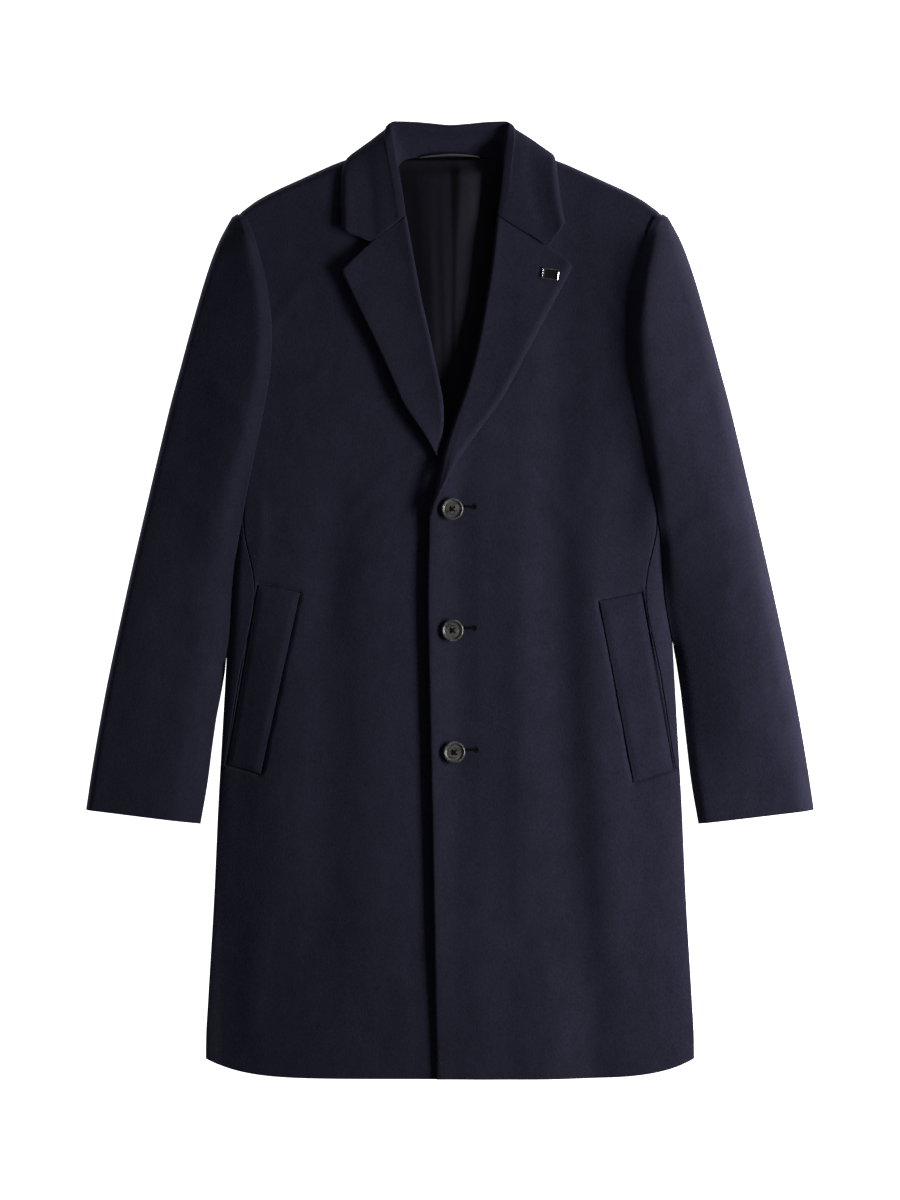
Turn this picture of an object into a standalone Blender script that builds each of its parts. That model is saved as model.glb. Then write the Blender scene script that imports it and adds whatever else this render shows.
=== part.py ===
"""Single-breasted wool coat lying flat: every cloth piece is a thin wall, seen from above."""

import math
from collections import namedtuple

import bpy
import numpy as np

# Sizes in millimetres, turned into metres where a mesh is made
MM = 0.001
CLOTH = 2.5
LEAF = 3.0
LINING_CLOTH = 1.0
SEAM = 0.35
SIDE_ROUND = 24.0
SHOULDER_ROUND = 20.0
HEM_Y = -501.2
HEM_RISE = 20.0
FRONT_LIFT = 3.2
ROLL_RADIUS = 4.6
NECK_SEAM_Z = 8.5
COLLAR_LAP = 3.0

# The body by height: half width to the side fold, half width of the back, top of the front
BodyRow = namedtuple("BodyRow", "y side back loft")
BODY = (
    BodyRow(-501.0, 256.5, 256.5, 13.5),
    BodyRow(-462.0, 256.2, 256.2, 14.0),
    BodyRow(-420.0, 254.0, 254.0, 14.5),
    BodyRow(-315.0, 247.8, 247.8, 15.5),
    BodyRow(-210.0, 243.0, 243.0, 16.5),
    BodyRow(-147.0, 239.4, 239.4, 17.0),
    BodyRow(-42.0, 233.5, 233.5, 18.0),
    BodyRow(46.0, 228.6, 228.6, 19.0),
    BodyRow(112.0, 225.0, 225.0, 20.0),
    BodyRow(190.0, 221.0, 220.0, 21.5),
    BodyRow(250.0, 226.0, 206.0, 22.5),
    BodyRow(300.0, 236.0, 200.0, 23.0),
    BodyRow(350.0, 250.0, 202.0, 23.5),
    BodyRow(385.0, 265.0, 212.0, 23.5),
    BodyRow(405.0, 280.0, 222.0, 23.5),
    BodyRow(500.0, 300.0, 222.0, 23.5),
)

# The shoulder line, and the neckline of the back, from the middle outwards
TopRow = namedtuple("TopRow", "x shoulder back")
TOP = (
    TopRow(0.0, 480.0, 462.0),
    TopRow(45.0, 480.0, 462.5),
    TopRow(62.0, 477.0, 466.0),
    TopRow(76.0, 472.0, 471.6),
    TopRow(114.5, 459.5, 457.5),
    TopRow(157.5, 441.0, 441.0),
    TopRow(200.5, 420.0, 420.0),
    TopRow(222.5, 404.0, 404.0),
)

# Each front by section: side or armhole edge, inner edge on the left and the right, pull to the shoulder line
FrontRow = namedtuple("FrontRow", "side_x side_y left_x left_y right_x right_y shoulder")
FRONT = (
    FrontRow(256.4, HEM_Y, -13.5, HEM_Y, 27.0, HEM_Y, 0.0),
    FrontRow(254.8, -440.0, -15.0, -440.0, 27.0, -440.0, 0.0),
    FrontRow(247.8, -315.0, -17.0, -315.0, 27.0, -315.0, 0.0),
    FrontRow(243.0, -215.0, -19.0, -215.0, 27.0, -215.0, 0.0),
    FrontRow(241.2, -184.0, -19.6, -190.0, 27.0, -188.0, 0.0),
    FrontRow(236.8, -176.0, -19.9, -172.0, 27.0, -172.0, 0.0),
    FrontRow(221.0, -82.0, -22.0, -84.0, 27.0, -84.0, 0.0),
    FrontRow(204.3, 8.0, -23.6, 4.0, 27.0, 4.0, 0.0),
    FrontRow(215.5, 75.0, -22.5, 60.0, 27.0, 58.0, 0.0),
    FrontRow(216.5, 112.0, -21.9, 92.0, 27.0, 94.0, 0.0),
    FrontRow(214.0, 150.0, -6.5, 126.0, 15.0, 125.0, 0.0),
    FrontRow(203.0, 191.0, 4.0, 162.0, -1.0, 160.0, 0.0),
    FrontRow(197.0, 215.0, 15.5, 195.0, -13.0, 195.0, 0.0),
    FrontRow(192.0, 244.0, 25.5, 224.0, -19.5, 228.0, 0.0),
    FrontRow(190.6, 284.0, 35.0, 268.0, -28.5, 272.0, 0.0),
    FrontRow(195.0, 324.0, 44.5, 315.0, -38.0, 318.0, 0.0),
    FrontRow(206.0, 358.0, 51.5, 358.0, -45.5, 360.0, 0.0),
    FrontRow(213.0, 384.0, 57.0, 399.0, -53.0, 399.0, 0.15),
    FrontRow(216.0, 393.0, 66.0, 438.0, -64.0, 438.0, 0.45),
    FrontRow(219.5, 402.5, 76.0, 471.6, -76.0, 471.6, 1.0),
)
SIDE_STEPS = (5, 5.5, 6, 6.5, 7, 7.5, 8, 9, 10)
FRONT_STEPS = (0, 0.4, 1, 1.5, 2, 3, 4, *SIDE_STEPS, 11, 12, 13, 14, 15, 16, 17, 18, 18.5, 18.85, 19)
FRONT_ACROSS = (0.0, 0.012, 0.03, 0.06, 0.11, 0.2, 0.32, 0.44, 0.56, 0.68, 0.79, 0.88, 0.95, 1.0)

# Broad soft folds of the fronts: a ridge (or hollow, if negative) from one end to the other
FoldRow = namedtuple("FoldRow", "x_low y_low x_high y_high width height")
FRONT_FOLDS = (
    FoldRow(-76.0, -430.0, -84.0, -180.0, 34.0, 2.4),
    FoldRow(-140.0, -440.0, -132.0, -170.0, 30.0, -2.0),
    FoldRow(172.0, -330.0, 176.0, 20.0, 26.0, 2.2),
    FoldRow(126.0, -330.0, 124.0, 10.0, 26.0, -1.8),
    FoldRow(198.0, 55.0, 196.0, 160.0, 12.0, 2.0),
    FoldRow(-150.0, 60.0, -120.0, 240.0, 40.0, 1.4),
    FoldRow(120.0, 80.0, 150.0, 260.0, 40.0, 1.4),
    FoldRow(60.0, -480.0, 70.0, -300.0, 40.0, 1.2),
)

# Sleeve by section: outer edge, inner edge, top of the sleeve, share of it left at the outer side
SleeveRow = namedtuple("SleeveRow", "outer_x outer_y inner_x inner_y top fall")
SLEEVE = (
    SleeveRow(228.5, 402.0, 223.0, 404.8, 9.0, 0.1),
    SleeveRow(241.5, 378.0, 213.0, 386.0, 27.0, 0.2),
    SleeveRow(250.0, 357.0, 201.0, 358.0, 33.0, 0.25),
    SleeveRow(258.0, 333.0, 190.0, 324.0, 36.0, 0.3),
    SleeveRow(275.0, 273.0, 185.6, 284.0, 37.5, 0.36),
    SleeveRow(283.0, 243.0, 187.0, 244.0, 37.5, 0.38),
    SleeveRow(292.0, 210.0, 192.0, 210.0, 36.5, 0.38),
    SleeveRow(317.0, 105.0, 212.0, 112.0, 32.0, 0.36),
    SleeveRow(341.0, 0.0, 229.8, 8.0, 27.0, 0.3),
    SleeveRow(363.0, -105.0, 243.0, -105.0, 22.0, 0.22),
    SleeveRow(376.0, -180.0, 253.0, -190.0, 18.5, 0.16),
    SleeveRow(382.0, -220.0, 260.7, -235.0, 17.0, 0.14),
)
SLEEVE_STEPS = (0, 0.4, 1, 1.5, 2, 2.5, 3, 3.5, 4, 4.5, 5, 5.5, 6, 6.33, 6.66, 7, 7.5, 8, 8.5, 9, 9.5, 10, 10.5, 11)
SLEEVE_ACROSS = (0.0, 0.012, 0.035, 0.08, 0.15, 0.27, 0.42, 0.57, 0.7, 0.8, 0.875, 0.93, 0.97, 1.0)
SLEEVE_OUTER_ROUND = 17.0
SLEEVE_INNER_ROUND = 15.0

# Lapels by section, from the foot upwards: roll line, outer edge, stand-off at the outer edge
LapelRow = namedtuple("LapelRow", "roll_x roll_y edge_x edge_y off bow curl")
LAPEL_LEFT = (
    LapelRow(-20.5, 106.0, -13.0, 112.5, 0.6, 0.0, 0.0),
    LapelRow(-15.5, 128.0, -1.0, 129.5, 0.8, 0.0, 0.2),
    LapelRow(-9.5, 150.7, 10.5, 145.0, 1.2, 0.0, 0.6),
    LapelRow(4.5, 187.0, 34.7, 178.5, 2.0, 0.0, 1.0),
    LapelRow(17.8, 223.7, 55.7, 210.0, 3.0, 0.0, 1.0),
    LapelRow(28.5, 268.0, 76.0, 248.0, 3.8, 0.0, 1.0),
    LapelRow(36.5, 312.0, 97.0, 287.5, 4.5, 0.0, 1.0),
    LapelRow(43.8, 358.0, 114.0, 319.0, 5.2, 1.5, 1.0),
    LapelRow(48.5, 401.2, 129.7, 348.6, 6.0, 2.6, 1.0),
)
LAPEL_RIGHT = (
    LapelRow(-10.5, 157.0, -15.5, 152.5, 2.0, 0.0, 0.0),
    LapelRow(-7.5, 178.0, -30.0, 174.0, 3.0, 0.0, 0.0),
    LapelRow(-6.0, 205.0, -47.0, 205.0, 4.0, 0.0, 0.3),
    LapelRow(-13.5, 241.0, -66.0, 243.0, 5.0, 0.0, 1.0),
    LapelRow(-21.0, 276.0, -82.0, 278.0, 5.6, 0.0, 1.0),
    LapelRow(-29.5, 314.0, -94.5, 303.0, 6.2, 0.0, 1.0),
    LapelRow(-37.5, 357.0, -105.0, 325.0, 7.0, 1.5, 1.0),
    LapelRow(-45.5, 401.2, -113.7, 343.4, 7.5, 3.5, 1.0),
)
LAPEL_STEPS = 2
CURL = (-75.0, -40.0, -5.0, 25.0, 50.0, 72.0, 90.0)
LEAF_ACROSS = (0.08, 0.22, 0.4, 0.58, 0.75, 0.89, 1.0)

# Collar by station round the neck: neck seam, roll, notch or middle of the fall, outer edge
CollarRow = namedtuple(
    "CollarRow", "in_x in_y roll_x roll_y roll_z mid_x mid_y mid_z out_x out_y out_z under"
)
COLLAR = (
    CollarRow(-39, 405, -46, 402.3, 31.5, -81.6, 374.9, 30.0, -115, 386.4, 34.0, 0.0),
    CollarRow(-43, 425, -50, 430, 32, -83, 416, 30.0, -115, 414, 32.5, 0.0),
    CollarRow(-44, 445, -56, 458, 31, -86, 449, 29.0, -115.5, 441, 30.5, 0.0),
    CollarRow(-41, 457, -60, 481, 28, -87.5, 472, 25.0, -116.5, 456, 25.0, 0.0),
    CollarRow(-37, 461, -62, 494, 25, -89, 484.5, 13.0, -118.5, 465.5, 12.0, 0.4),
    CollarRow(-32, 463, -58, 497.8, 22.5, -82, 478, 0.0, -113, 461, 0.0, 1.0),
    CollarRow(-25, 464, -38, 498.6, 21, -54, 472, 0.0, -76, 448, 0.0, 1.0),
    CollarRow(-12, 464.5, -18, 496.8, 20, -24, 469, 0.0, -34, 440, 0.0, 1.0),
    CollarRow(0, 464.5, 0, 495.2, 19.5, 0, 468, 0.0, 0, 437, 0.0, 1.0),
    CollarRow(12, 464.5, 18, 496.4, 20, 24, 469, 0.0, 34, 440, 0.0, 1.0),
    CollarRow(25, 464, 38, 498.4, 21, 54, 472, 0.0, 76, 448, 0.0, 1.0),
    CollarRow(32, 463, 57, 497.6, 22.5, 82, 478, 0.0, 112.5, 461, 0.0, 1.0),
    CollarRow(37, 461, 61, 494, 25, 88, 484.5, 13.0, 117.5, 465.5, 12.0, 0.4),
    CollarRow(41, 457, 59, 480, 28, 86, 472, 25.0, 115, 456, 25.0, 0.0),
    CollarRow(44, 445, 56.5, 456, 31, 85, 448, 29.0, 114.0, 441, 30.5, 0.0),
    CollarRow(43, 425, 53.5, 429, 32, 90, 413, 29.5, 116.5, 417, 32.0, 0.0),
    CollarRow(39, 405, 49.0, 402.3, 31.5, 101.9, 370.9, 29.5, 121.0, 393.8, 33.0, 0.0),
)
COLLAR_STATIONS = 33

# Back lining in the neck: half width by height
LiningRow = namedtuple("LiningRow", "y half")
LINING = (
    LiningRow(105.0, 30.0),
    LiningRow(200.0, 48.0),
    LiningRow(300.0, 58.0),
    LiningRow(380.0, 58.0),
    LiningRow(400.0, 37.5),
    LiningRow(425.0, 41.5),
    LiningRow(445.0, 42.0),
    LiningRow(456.0, 38.0),
    LiningRow(461.0, 32.0),
)
LINING_FOLDS = (
    FoldRow(-14.0, 110.0, -30.0, 470.0, 9.0, 3.2),
    FoldRow(-3.0, 110.0, -4.0, 470.0, 6.0, 2.4),
    FoldRow(6.0, 110.0, 18.0, 470.0, 8.0, 4.6),
    FoldRow(14.0, 110.0, 38.0, 470.0, 7.0, 1.6),
)

# Slanted welts of the pockets, by their four corners
WeltRow = namedtuple("WeltRow", "inner_x inner_y outer_x outer_y")
WELT_LEFT = (WeltRow(191.9, -191.1, 233.2, -177.5), WeltRow(155.8, -1.0, 200.2, 7.5))
WELT_RIGHT = (WeltRow(-198.2, -182.2, -233.2, -172.5), WeltRow(-157.2, 7.5, -200.4, 16.0))
WELT_THICK = 1.6

# Buttons down the front: centres
ButtonRow = namedtuple("ButtonRow", "x y")
BUTTONS = (ButtonRow(2.5, 95.0), ButtonRow(2.7, -31.7), ButtonRow(4.6, -159.0))
BUTTON_DIAMETER = 23.0
BUTTON_HOLE = 2.0
BUTTON_HOLE_SPREAD = 2.3

# Plain pin on the left lapel, and the hanger loop at the neck
PIN_CENTRE = (104.5, 340.0)
PIN_SIZE = (17.0, 11.0, 1.6)
PIN_TURN = -7.5
LoopRow = namedtuple("LoopRow", "x y z")
LOOP = (
    LoopRow(-31.5, 463.4, 10.2),
    LoopRow(-24.0, 464.4, 11.5),
    LoopRow(-12.0, 465.4, 12.6),
    LoopRow(0.0, 466.2, 12.8),
    LoopRow(12.0, 465.8, 12.7),
    LoopRow(24.0, 465.0, 11.6),
    LoopRow(31.5, 463.6, 10.2),
)
LOOP_RADIUS = 1.25


def clear_scene():
    """Empties the scene of its objects."""
    for item in list(bpy.data.objects):
        bpy.data.objects.remove(item, do_unlink=True)


def smooth(places, values, at):
    """Curve through the values with no overshoot (monotone cubic)."""
    places = np.asarray(places, float)
    values = np.asarray(values, float)
    at = np.clip(np.asarray(at, float), places[0], places[-1])
    step = np.diff(places)
    slope = np.diff(values) / step
    tangent = np.zeros(len(places))
    tangent[0] = slope[0]
    tangent[-1] = slope[-1]
    for i in range(1, len(places) - 1):
        if slope[i - 1] * slope[i] > 0:
            before = 2 * step[i] + step[i - 1]
            after = step[i] + 2 * step[i - 1]
            tangent[i] = (before + after) / (before / slope[i - 1] + after / slope[i])
    k = np.clip(np.searchsorted(places, at, side="right") - 1, 0, len(step) - 1)
    t = (at - places[k]) / step[k]
    start = (2 * t**3 - 3 * t**2 + 1) * values[k] + (t**3 - 2 * t**2 + t) * step[k] * tangent[k]
    end = (3 * t**2 - 2 * t**3) * values[k + 1] + (t**3 - t**2) * step[k] * tangent[k + 1]
    return start + end


def column(table, name):
    """One named column of a table."""
    return np.array([getattr(row, name) for row in table], float)


def along(table, name, at):
    """A column of a table read between its rows, by row number."""
    return smooth(np.arange(len(table)), column(table, name), at)


def ease(low, high, value):
    """0 below low, 1 above high, soft between."""
    t = np.clip((np.asarray(value, float) - low) / (high - low), 0.0, 1.0)
    return t * t * (3 - 2 * t)


def rounded(distance, radius):
    """Quarter-round rise from 0 at an edge to 1 at a radius from it."""
    t = np.clip(np.asarray(distance, float) / radius, 0.0, 1.0)
    return np.sqrt(1 - (1 - t) ** 2)


def body_side(y):
    return smooth(column(BODY, "y"), column(BODY, "side"), y)


def back_side(y):
    return smooth(column(BODY, "y"), column(BODY, "back"), y)


def shoulder_line(x):
    return smooth(column(TOP, "x"), column(TOP, "shoulder"), np.abs(x))


def hem_rise(x):
    """How far the hem curves up towards the side folds."""
    return HEM_RISE * np.clip(np.abs(x) / 256.5, 0, 1) ** 7


def folds(table, x, y):
    """Sum of soft ridges and hollows, each fading out at its ends."""
    total = np.zeros(np.broadcast(x, y).shape)
    for row in table:
        along_x = row.x_high - row.x_low
        along_y = row.y_high - row.y_low
        length = math.hypot(along_x, along_y)
        t = ((x - row.x_low) * along_x + (y - row.y_low) * along_y) / length**2
        side = ((x - row.x_low) * along_y - (y - row.y_low) * along_x) / length
        fade = ease(-0.1, 0.25, t) * (1 - ease(0.75, 1.1, t))
        total = total + row.height * np.exp(-((side / row.width) ** 2)) * fade
    return total


def back_under(x, y):
    """Underside of the back: flat, raised at the neck where the collar lies beneath it."""
    return (COLLAR_LAP + SEAM) * ease(412.0, 432.0, y) * (1 - ease(121.0, 136.0, np.abs(x)))


def body_top(x, y):
    """Outer surface of the fronts, without the lap of the left front."""
    base = back_under(x, y) + CLOTH + SEAM
    loft = smooth(column(BODY, "y"), column(BODY, "loft"), y)
    side = rounded(body_side(y) - np.abs(x), SIDE_ROUND)
    shoulder = rounded((shoulder_line(x) - y) * 0.9, SHOULDER_ROUND)
    return base + (loft + folds(FRONT_FOLDS, x, y) - base) * side * shoulder


def left_top(x, y):
    """Outer surface of the left front, which laps over the right one."""
    raised = (1 - ease(30.0, 62.0, x)) * (1 - ease(130.0, 230.0, y))
    return body_top(x, y) + (CLOTH + SEAM + FRONT_LIFT) * raised


def surface_normals(height, x, y):
    """Unit normals of a height field."""
    slope_x = height(x + 0.4, y) - height(x - 0.4, y)
    slope_y = height(x, y + 0.4) - height(x, y - 0.4)
    normal = np.stack([-slope_x / 0.8, -slope_y / 0.8, np.ones_like(slope_x)], axis=-1)
    return normal / np.linalg.norm(normal, axis=-1, keepdims=True)


def grid_normals(grid):
    """Unit normals of a grid of points."""
    across = np.gradient(grid, axis=1)
    down = np.gradient(grid, axis=0)
    normal = np.cross(across, down)
    return normal / np.maximum(np.linalg.norm(normal, axis=-1, keepdims=True), 1e-9)


def add_mesh(name, points, faces, finish):
    """A named object from points in millimetres, its faces turned outwards."""
    points = np.asarray(points, float) * MM
    volume = 0.0
    for face in faces:
        for i in range(1, len(face) - 1):
            corner = points[face[0]]
            volume += np.dot(corner, np.cross(points[face[i]], points[face[i + 1]]))
    if volume < 0:
        faces = [tuple(reversed(face)) for face in faces]
    mesh = bpy.data.meshes.new(name)
    mesh.from_pydata([tuple(point) for point in points], [], faces)
    mesh.update()
    item = bpy.data.objects.new(name, mesh)
    bpy.context.scene.collection.objects.link(item)
    color, roughness, metallic = finish
    material = bpy.data.materials.new(name + "_finish")
    material.use_nodes = True
    shader = material.node_tree.nodes["Principled BSDF"]
    shader.inputs["Base Color"].default_value = (*color, 1.0)
    shader.inputs["Roughness"].default_value = roughness
    shader.inputs["Metallic"].default_value = metallic
    mesh.materials.append(material)
    return item


def add_wall(name, outer, inner, finish):
    """A closed wall between two grids of points."""
    rows, across = outer.shape[:2]
    points = np.concatenate([outer.reshape(-1, 3), inner.reshape(-1, 3)])
    back = rows * across
    faces = []
    for i in range(rows - 1):
        for j in range(across - 1):
            a = i * across + j
            quad = (a, a + 1, a + across + 1, a + across)
            faces.append(quad)
            faces.append(tuple(back + k for k in reversed(quad)))
    border = [j for j in range(across)]
    border += [i * across + across - 1 for i in range(1, rows)]
    border += [(rows - 1) * across + j for j in range(across - 2, -1, -1)]
    border += [i * across for i in range(rows - 2, 0, -1)]
    for k, start in enumerate(border):
        end = border[(k + 1) % len(border)]
        faces.append((end, start, back + start, back + end))
    return add_mesh(name, points, faces, finish)


def sunk(outer, normal, thickness, ground=None):
    """The far face of a wall: points moved in along the normals, kept above the ground."""
    inner = outer - normal * np.asarray(thickness)[..., None]
    if ground is not None:
        inner[..., 2] = np.maximum(inner[..., 2], ground(inner[..., 0], inner[..., 1]) + SEAM)
    return inner


def back_upper(x, y):
    """Top face of the back."""
    return back_under(x, y) + CLOTH


WOOL = ((0.012, 0.012, 0.022), 0.9, 0.0)
SATIN = ((0.014, 0.014, 0.018), 0.45, 0.0)
HORN = ((0.06, 0.06, 0.058), 0.25, 0.0)
GUNMETAL = ((0.05, 0.05, 0.055), 0.25, 1.0)
CORD = ((0.004, 0.004, 0.005), 0.2, 0.0)


def build_back():
    across = np.linspace(-1, 1, 27)
    up = np.concatenate([np.linspace(0, 0.78, 14), np.linspace(0.82, 1, 10)])
    top = smooth(column(TOP, "x"), column(TOP, "back"), np.abs(across) * 222.0)
    bottom = HEM_Y + hem_rise(across * 256.5)
    y = bottom[None, :] + up[:, None] * (top - bottom)[None, :]
    x = across[None, :] * back_side(y)
    outer = np.stack([x, y, back_under(x, y)], axis=-1)
    inner = outer + np.array([0.0, 0.0, CLOTH])
    add_wall("back", outer, inner, WOOL)


def front_grid(side, inner_x, inner_y, height):
    """Outer grid of a front: ruled from its side edge to its inner edge, on the body's surface."""
    steps = np.array(FRONT_STEPS, float)
    u = np.array(FRONT_ACROSS)[None, :]
    side_x = side * along(FRONT, "side_x", steps)[:, None]
    side_y = along(FRONT, "side_y", steps)[:, None]
    edge_x = along(FRONT, inner_x, steps)[:, None]
    edge_y = along(FRONT, inner_y, steps)[:, None]
    x = side_x + (edge_x - side_x) * u
    y = side_y + (edge_y - side_y) * u
    share = along(FRONT, "shoulder", steps)[:, None]
    y = y + share * (shoulder_line(x) - y)
    hem = 1 - ease(HEM_Y, HEM_Y + 110, y)
    y = y + hem_rise(x) * hem
    return np.stack([x, y, height(x, y)], axis=-1)


def build_fronts():
    left = front_grid(1, "left_x", "left_y", left_top)
    normal = surface_normals(left_top, left[..., 0], left[..., 1])
    edge = ease(45.0, 5.0, left[..., 0]) * (1 - ease(70.0, 120.0, left[..., 1]))
    inner = sunk(left, normal, CLOTH + 2.2 * edge, back_upper)
    add_wall("front_left", left, inner, WOOL)
    right = front_grid(-1, "right_x", "right_y", body_top)
    normal = surface_normals(body_top, right[..., 0], right[..., 1])
    add_wall("front_right", right, sunk(right, normal, np.full(right.shape[:2], CLOTH), back_upper), WOOL)


def build_sides():
    """Side panels, from the seam with the front to the side fold."""
    steps = np.array(SIDE_STEPS, float)
    y = along(FRONT, "side_y", steps)[:, None]
    seam = along(FRONT, "side_x", steps)[:, None] + SEAM
    y[0] += SEAM
    edge = body_side(y)
    u = np.array((0.0, 0.3, 0.55, 0.75, 0.9, 1.0))[None, :]
    for side, name in ((1, "side_left"), (-1, "side_right")):
        x = side * (seam + (edge - seam) * u)
        grid = np.stack([x, y + 0 * x, body_top(x, y + 0 * x)], axis=-1)
        normal = surface_normals(body_top, grid[..., 0], grid[..., 1])
        add_wall(name, grid, sunk(grid, normal, np.full(x.shape, CLOTH), back_upper), WOOL)


def sleeve_grid(side, under):
    """Grid across a sleeve from its outer edge to its inner edge."""
    steps = np.array(SLEEVE_STEPS, float)
    outer_x = along(SLEEVE, "outer_x", steps)
    outer_y = along(SLEEVE, "outer_y", steps)
    inner_x = along(SLEEVE, "inner_x", steps)
    inner_y = along(SLEEVE, "inner_y", steps)
    if under:
        inner_x = np.maximum(inner_x, back_side(inner_y) + SEAM + 0.25)
        inner_x = np.minimum(inner_x, outer_x - 2.0)
    u = np.array(SLEEVE_ACROSS)[None, :]
    x = outer_x[:, None] + (inner_x - outer_x)[:, None] * u
    y = outer_y[:, None] + (inner_y - outer_y)[:, None] * u
    if under:
        return np.stack([side * x, y, np.zeros(x.shape)], axis=-1)
    width = np.hypot(outer_x - inner_x, outer_y - inner_y)[:, None]
    top = along(SLEEVE, "top", steps)[:, None]
    fall = along(SLEEVE, "fall", steps)[:, None]
    rest = CLOTH + SEAM
    clear = 3 * SEAM + 2.0 * ease(365.0, 395.0, inner_y)
    rim = np.maximum(rest, body_top(inner_x, inner_y) + clear)[:, None]
    rim = np.where(inner_x[:, None] > body_side(inner_y)[:, None], rest, rim)
    from_inner = (1 - u) * width
    from_outer = u * width
    crest = top * (1 - fall * np.clip((1 - u - 0.12) / 0.88, 0, 1) ** 1.3)
    crest = np.maximum(crest, rim + 4 * SEAM)
    z = rim + (crest - rim) * rounded(from_inner, np.minimum(SLEEVE_INNER_ROUND, 0.45 * width))
    z = rest + (z - rest) * rounded(from_outer, np.minimum(SLEEVE_OUTER_ROUND, 0.45 * width))
    return np.stack([side * x, y, z], axis=-1)


def sleeve_ground(x, y):
    """What a sleeve rests on: the body where it reaches over it, otherwise its own under piece."""
    over = np.abs(x) < body_side(y)
    return np.where(over, np.maximum(body_top(x, y), CLOTH), CLOTH)


def build_sleeves():
    for side, name in ((1, "left"), (-1, "right")):
        top = sleeve_grid(side, False)
        normal = grid_normals(top)
        normal = normal * np.sign(normal[..., 2:3] + 1e-9)
        wall = np.full(top.shape[:2], CLOTH)
        add_wall("sleeve_top_" + name, top, sunk(top, normal, wall, sleeve_ground), WOOL)
        under = sleeve_grid(side, True)
        add_wall("sleeve_under_" + name, under, under + np.array([0.0, 0.0, CLOTH]), WOOL)


def lapel_grid(table, height):
    """Outer grid of a lapel: curled round its roll line, then lying on the front."""
    count = (len(table) - 1) * LAPEL_STEPS + 1
    steps = np.linspace(0, len(table) - 1, count)
    rows = []
    walls = []
    for step in steps:
        roll = np.array([along(table, "roll_x", step), along(table, "roll_y", step)])
        edge = np.array([along(table, "edge_x", step), along(table, "edge_y", step)])
        off = float(along(table, "off", step))
        bow = float(along(table, "bow", step))
        open_out = 0.5 + 0.5 * float(along(table, "curl", step))
        width = np.linalg.norm(edge - roll)
        radius = min(ROLL_RADIUS, 0.42 * width)
        out = (edge - roll) / width
        spots = []
        for angle in CURL:
            bend = math.radians(90 - (90 - angle) * open_out)
            spots.append((radius * (1 - math.cos(bend)), math.sin(bend) - 1))
        for share in LEAF_ACROSS:
            spots.append((radius + (width - radius) * share, 0.0))
        row = []
        for reach, turn in spots:
            spot = roll + out * reach
            share = reach / width
            rest = max(reach, 2 * ROLL_RADIUS)
            under = roll + out * rest
            lift = 3.4 * math.exp(-reach / 22.0) * min(1.0, width / 30.0) + off * share**2
            z = float(height(np.array(under[0]), np.array(under[1]))) + SEAM + LEAF + lift
            bowed = bow * 4 * share * (1 - share)
            row.append((spot[0], spot[1] + bowed, z + radius * turn))
        rows.append(row)
        walls.append([min(LEAF, 0.85 * radius)] * len(row))
    return np.array(rows), np.array(walls)


def build_lapels():
    grids = {}
    for name, table, height in (("left", LAPEL_LEFT, left_top), ("right", LAPEL_RIGHT, body_top)):
        grid, wall = lapel_grid(table, height)
        normal = grid_normals(grid)
        if normal[normal.shape[0] // 2, -2, 2] < 0:
            normal = -normal
        add_wall("lapel_" + name, grid, sunk(grid, normal, wall), WOOL)
        grids[name] = grid
    return grids


def collar_grid():
    """Outer grid of the collar: up the stand, over the roll and down the fall."""
    steps = np.linspace(0, len(COLLAR) - 1, COLLAR_STATIONS)
    value = {name: along(COLLAR, name, steps) for name in CollarRow._fields}
    rows = []
    for k in range(COLLAR_STATIONS):
        seam = np.array([value["in_x"][k], value["in_y"][k]])
        roll = np.array([value["roll_x"][k], value["roll_y"][k]])
        middle = np.array([value["mid_x"][k], value["mid_y"][k]])
        outside = np.array([value["out_x"][k], value["out_y"][k]])
        under = value["under"][k]
        top = value["roll_z"][k]
        mid_z = value["mid_z"][k]
        out_z = value["out_z"][k]
        away = (roll - seam) / np.linalg.norm(roll - seam)
        over = (middle - roll) / np.linalg.norm(middle - roll)
        row = []
        for share in (0.0, 0.3, 0.6, 0.85):
            spot = seam + (roll - seam) * share
            row.append((*spot, NECK_SEAM_Z + (top - 1.0 - NECK_SEAM_Z) * share**1.15))
        row.append((*roll, top))
        turn = roll + over * 5.0 * (1 - under) + away * 2.6 * under
        turn_z = (top - 0.2) * (1 - under) + top * 0.5 * under
        row.append((*turn, turn_z))
        for share, drop in ((0.16, 0.97), (0.55, 1.0)):
            spot = roll + (middle - roll) * (share + 0.15 * (1 - under))
            even = turn_z + (mid_z - turn_z) * (share + 0.05)
            row.append((*spot, even * (1 - under) + (turn_z + (mid_z - turn_z) * drop) * under))
        row.append((*middle, mid_z))
        for share in (0.4, 0.75, 1.0):
            spot = middle + (outside - middle) * share
            row.append((*spot, mid_z + (out_z - mid_z) * share**1.4))
        rows.append(row)
    return np.array(rows)


def build_collar():
    grid = collar_grid()
    normal = grid_normals(grid)
    if normal[COLLAR_STATIONS // 2, 1, 2] < 0:
        normal = -normal
    add_wall("collar", grid, sunk(grid, normal, np.full(grid.shape[:2], CLOTH)), WOOL)


def build_lining():
    y = np.linspace(LINING[0].y, LINING[-1].y, 16)[:, None]
    half = smooth(column(LINING, "y"), column(LINING, "half"), y)
    x = half * np.linspace(-1, 1, 25)[None, :]
    y = y + 0 * x
    rise = (COLLAR_LAP + SEAM) * ease(375.0, 425.0, y)
    fade = 1 - 0.8 * ease(440.0, 461.0, y)
    z = CLOTH + rise + 2 * SEAM + LINING_CLOTH + folds(LINING_FOLDS, x, y) * fade
    outer = np.stack([x, y, z], axis=-1)
    inner = outer - np.array([0.0, 0.0, LINING_CLOTH])
    add_wall("lining_back", outer, inner, SATIN)


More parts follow.
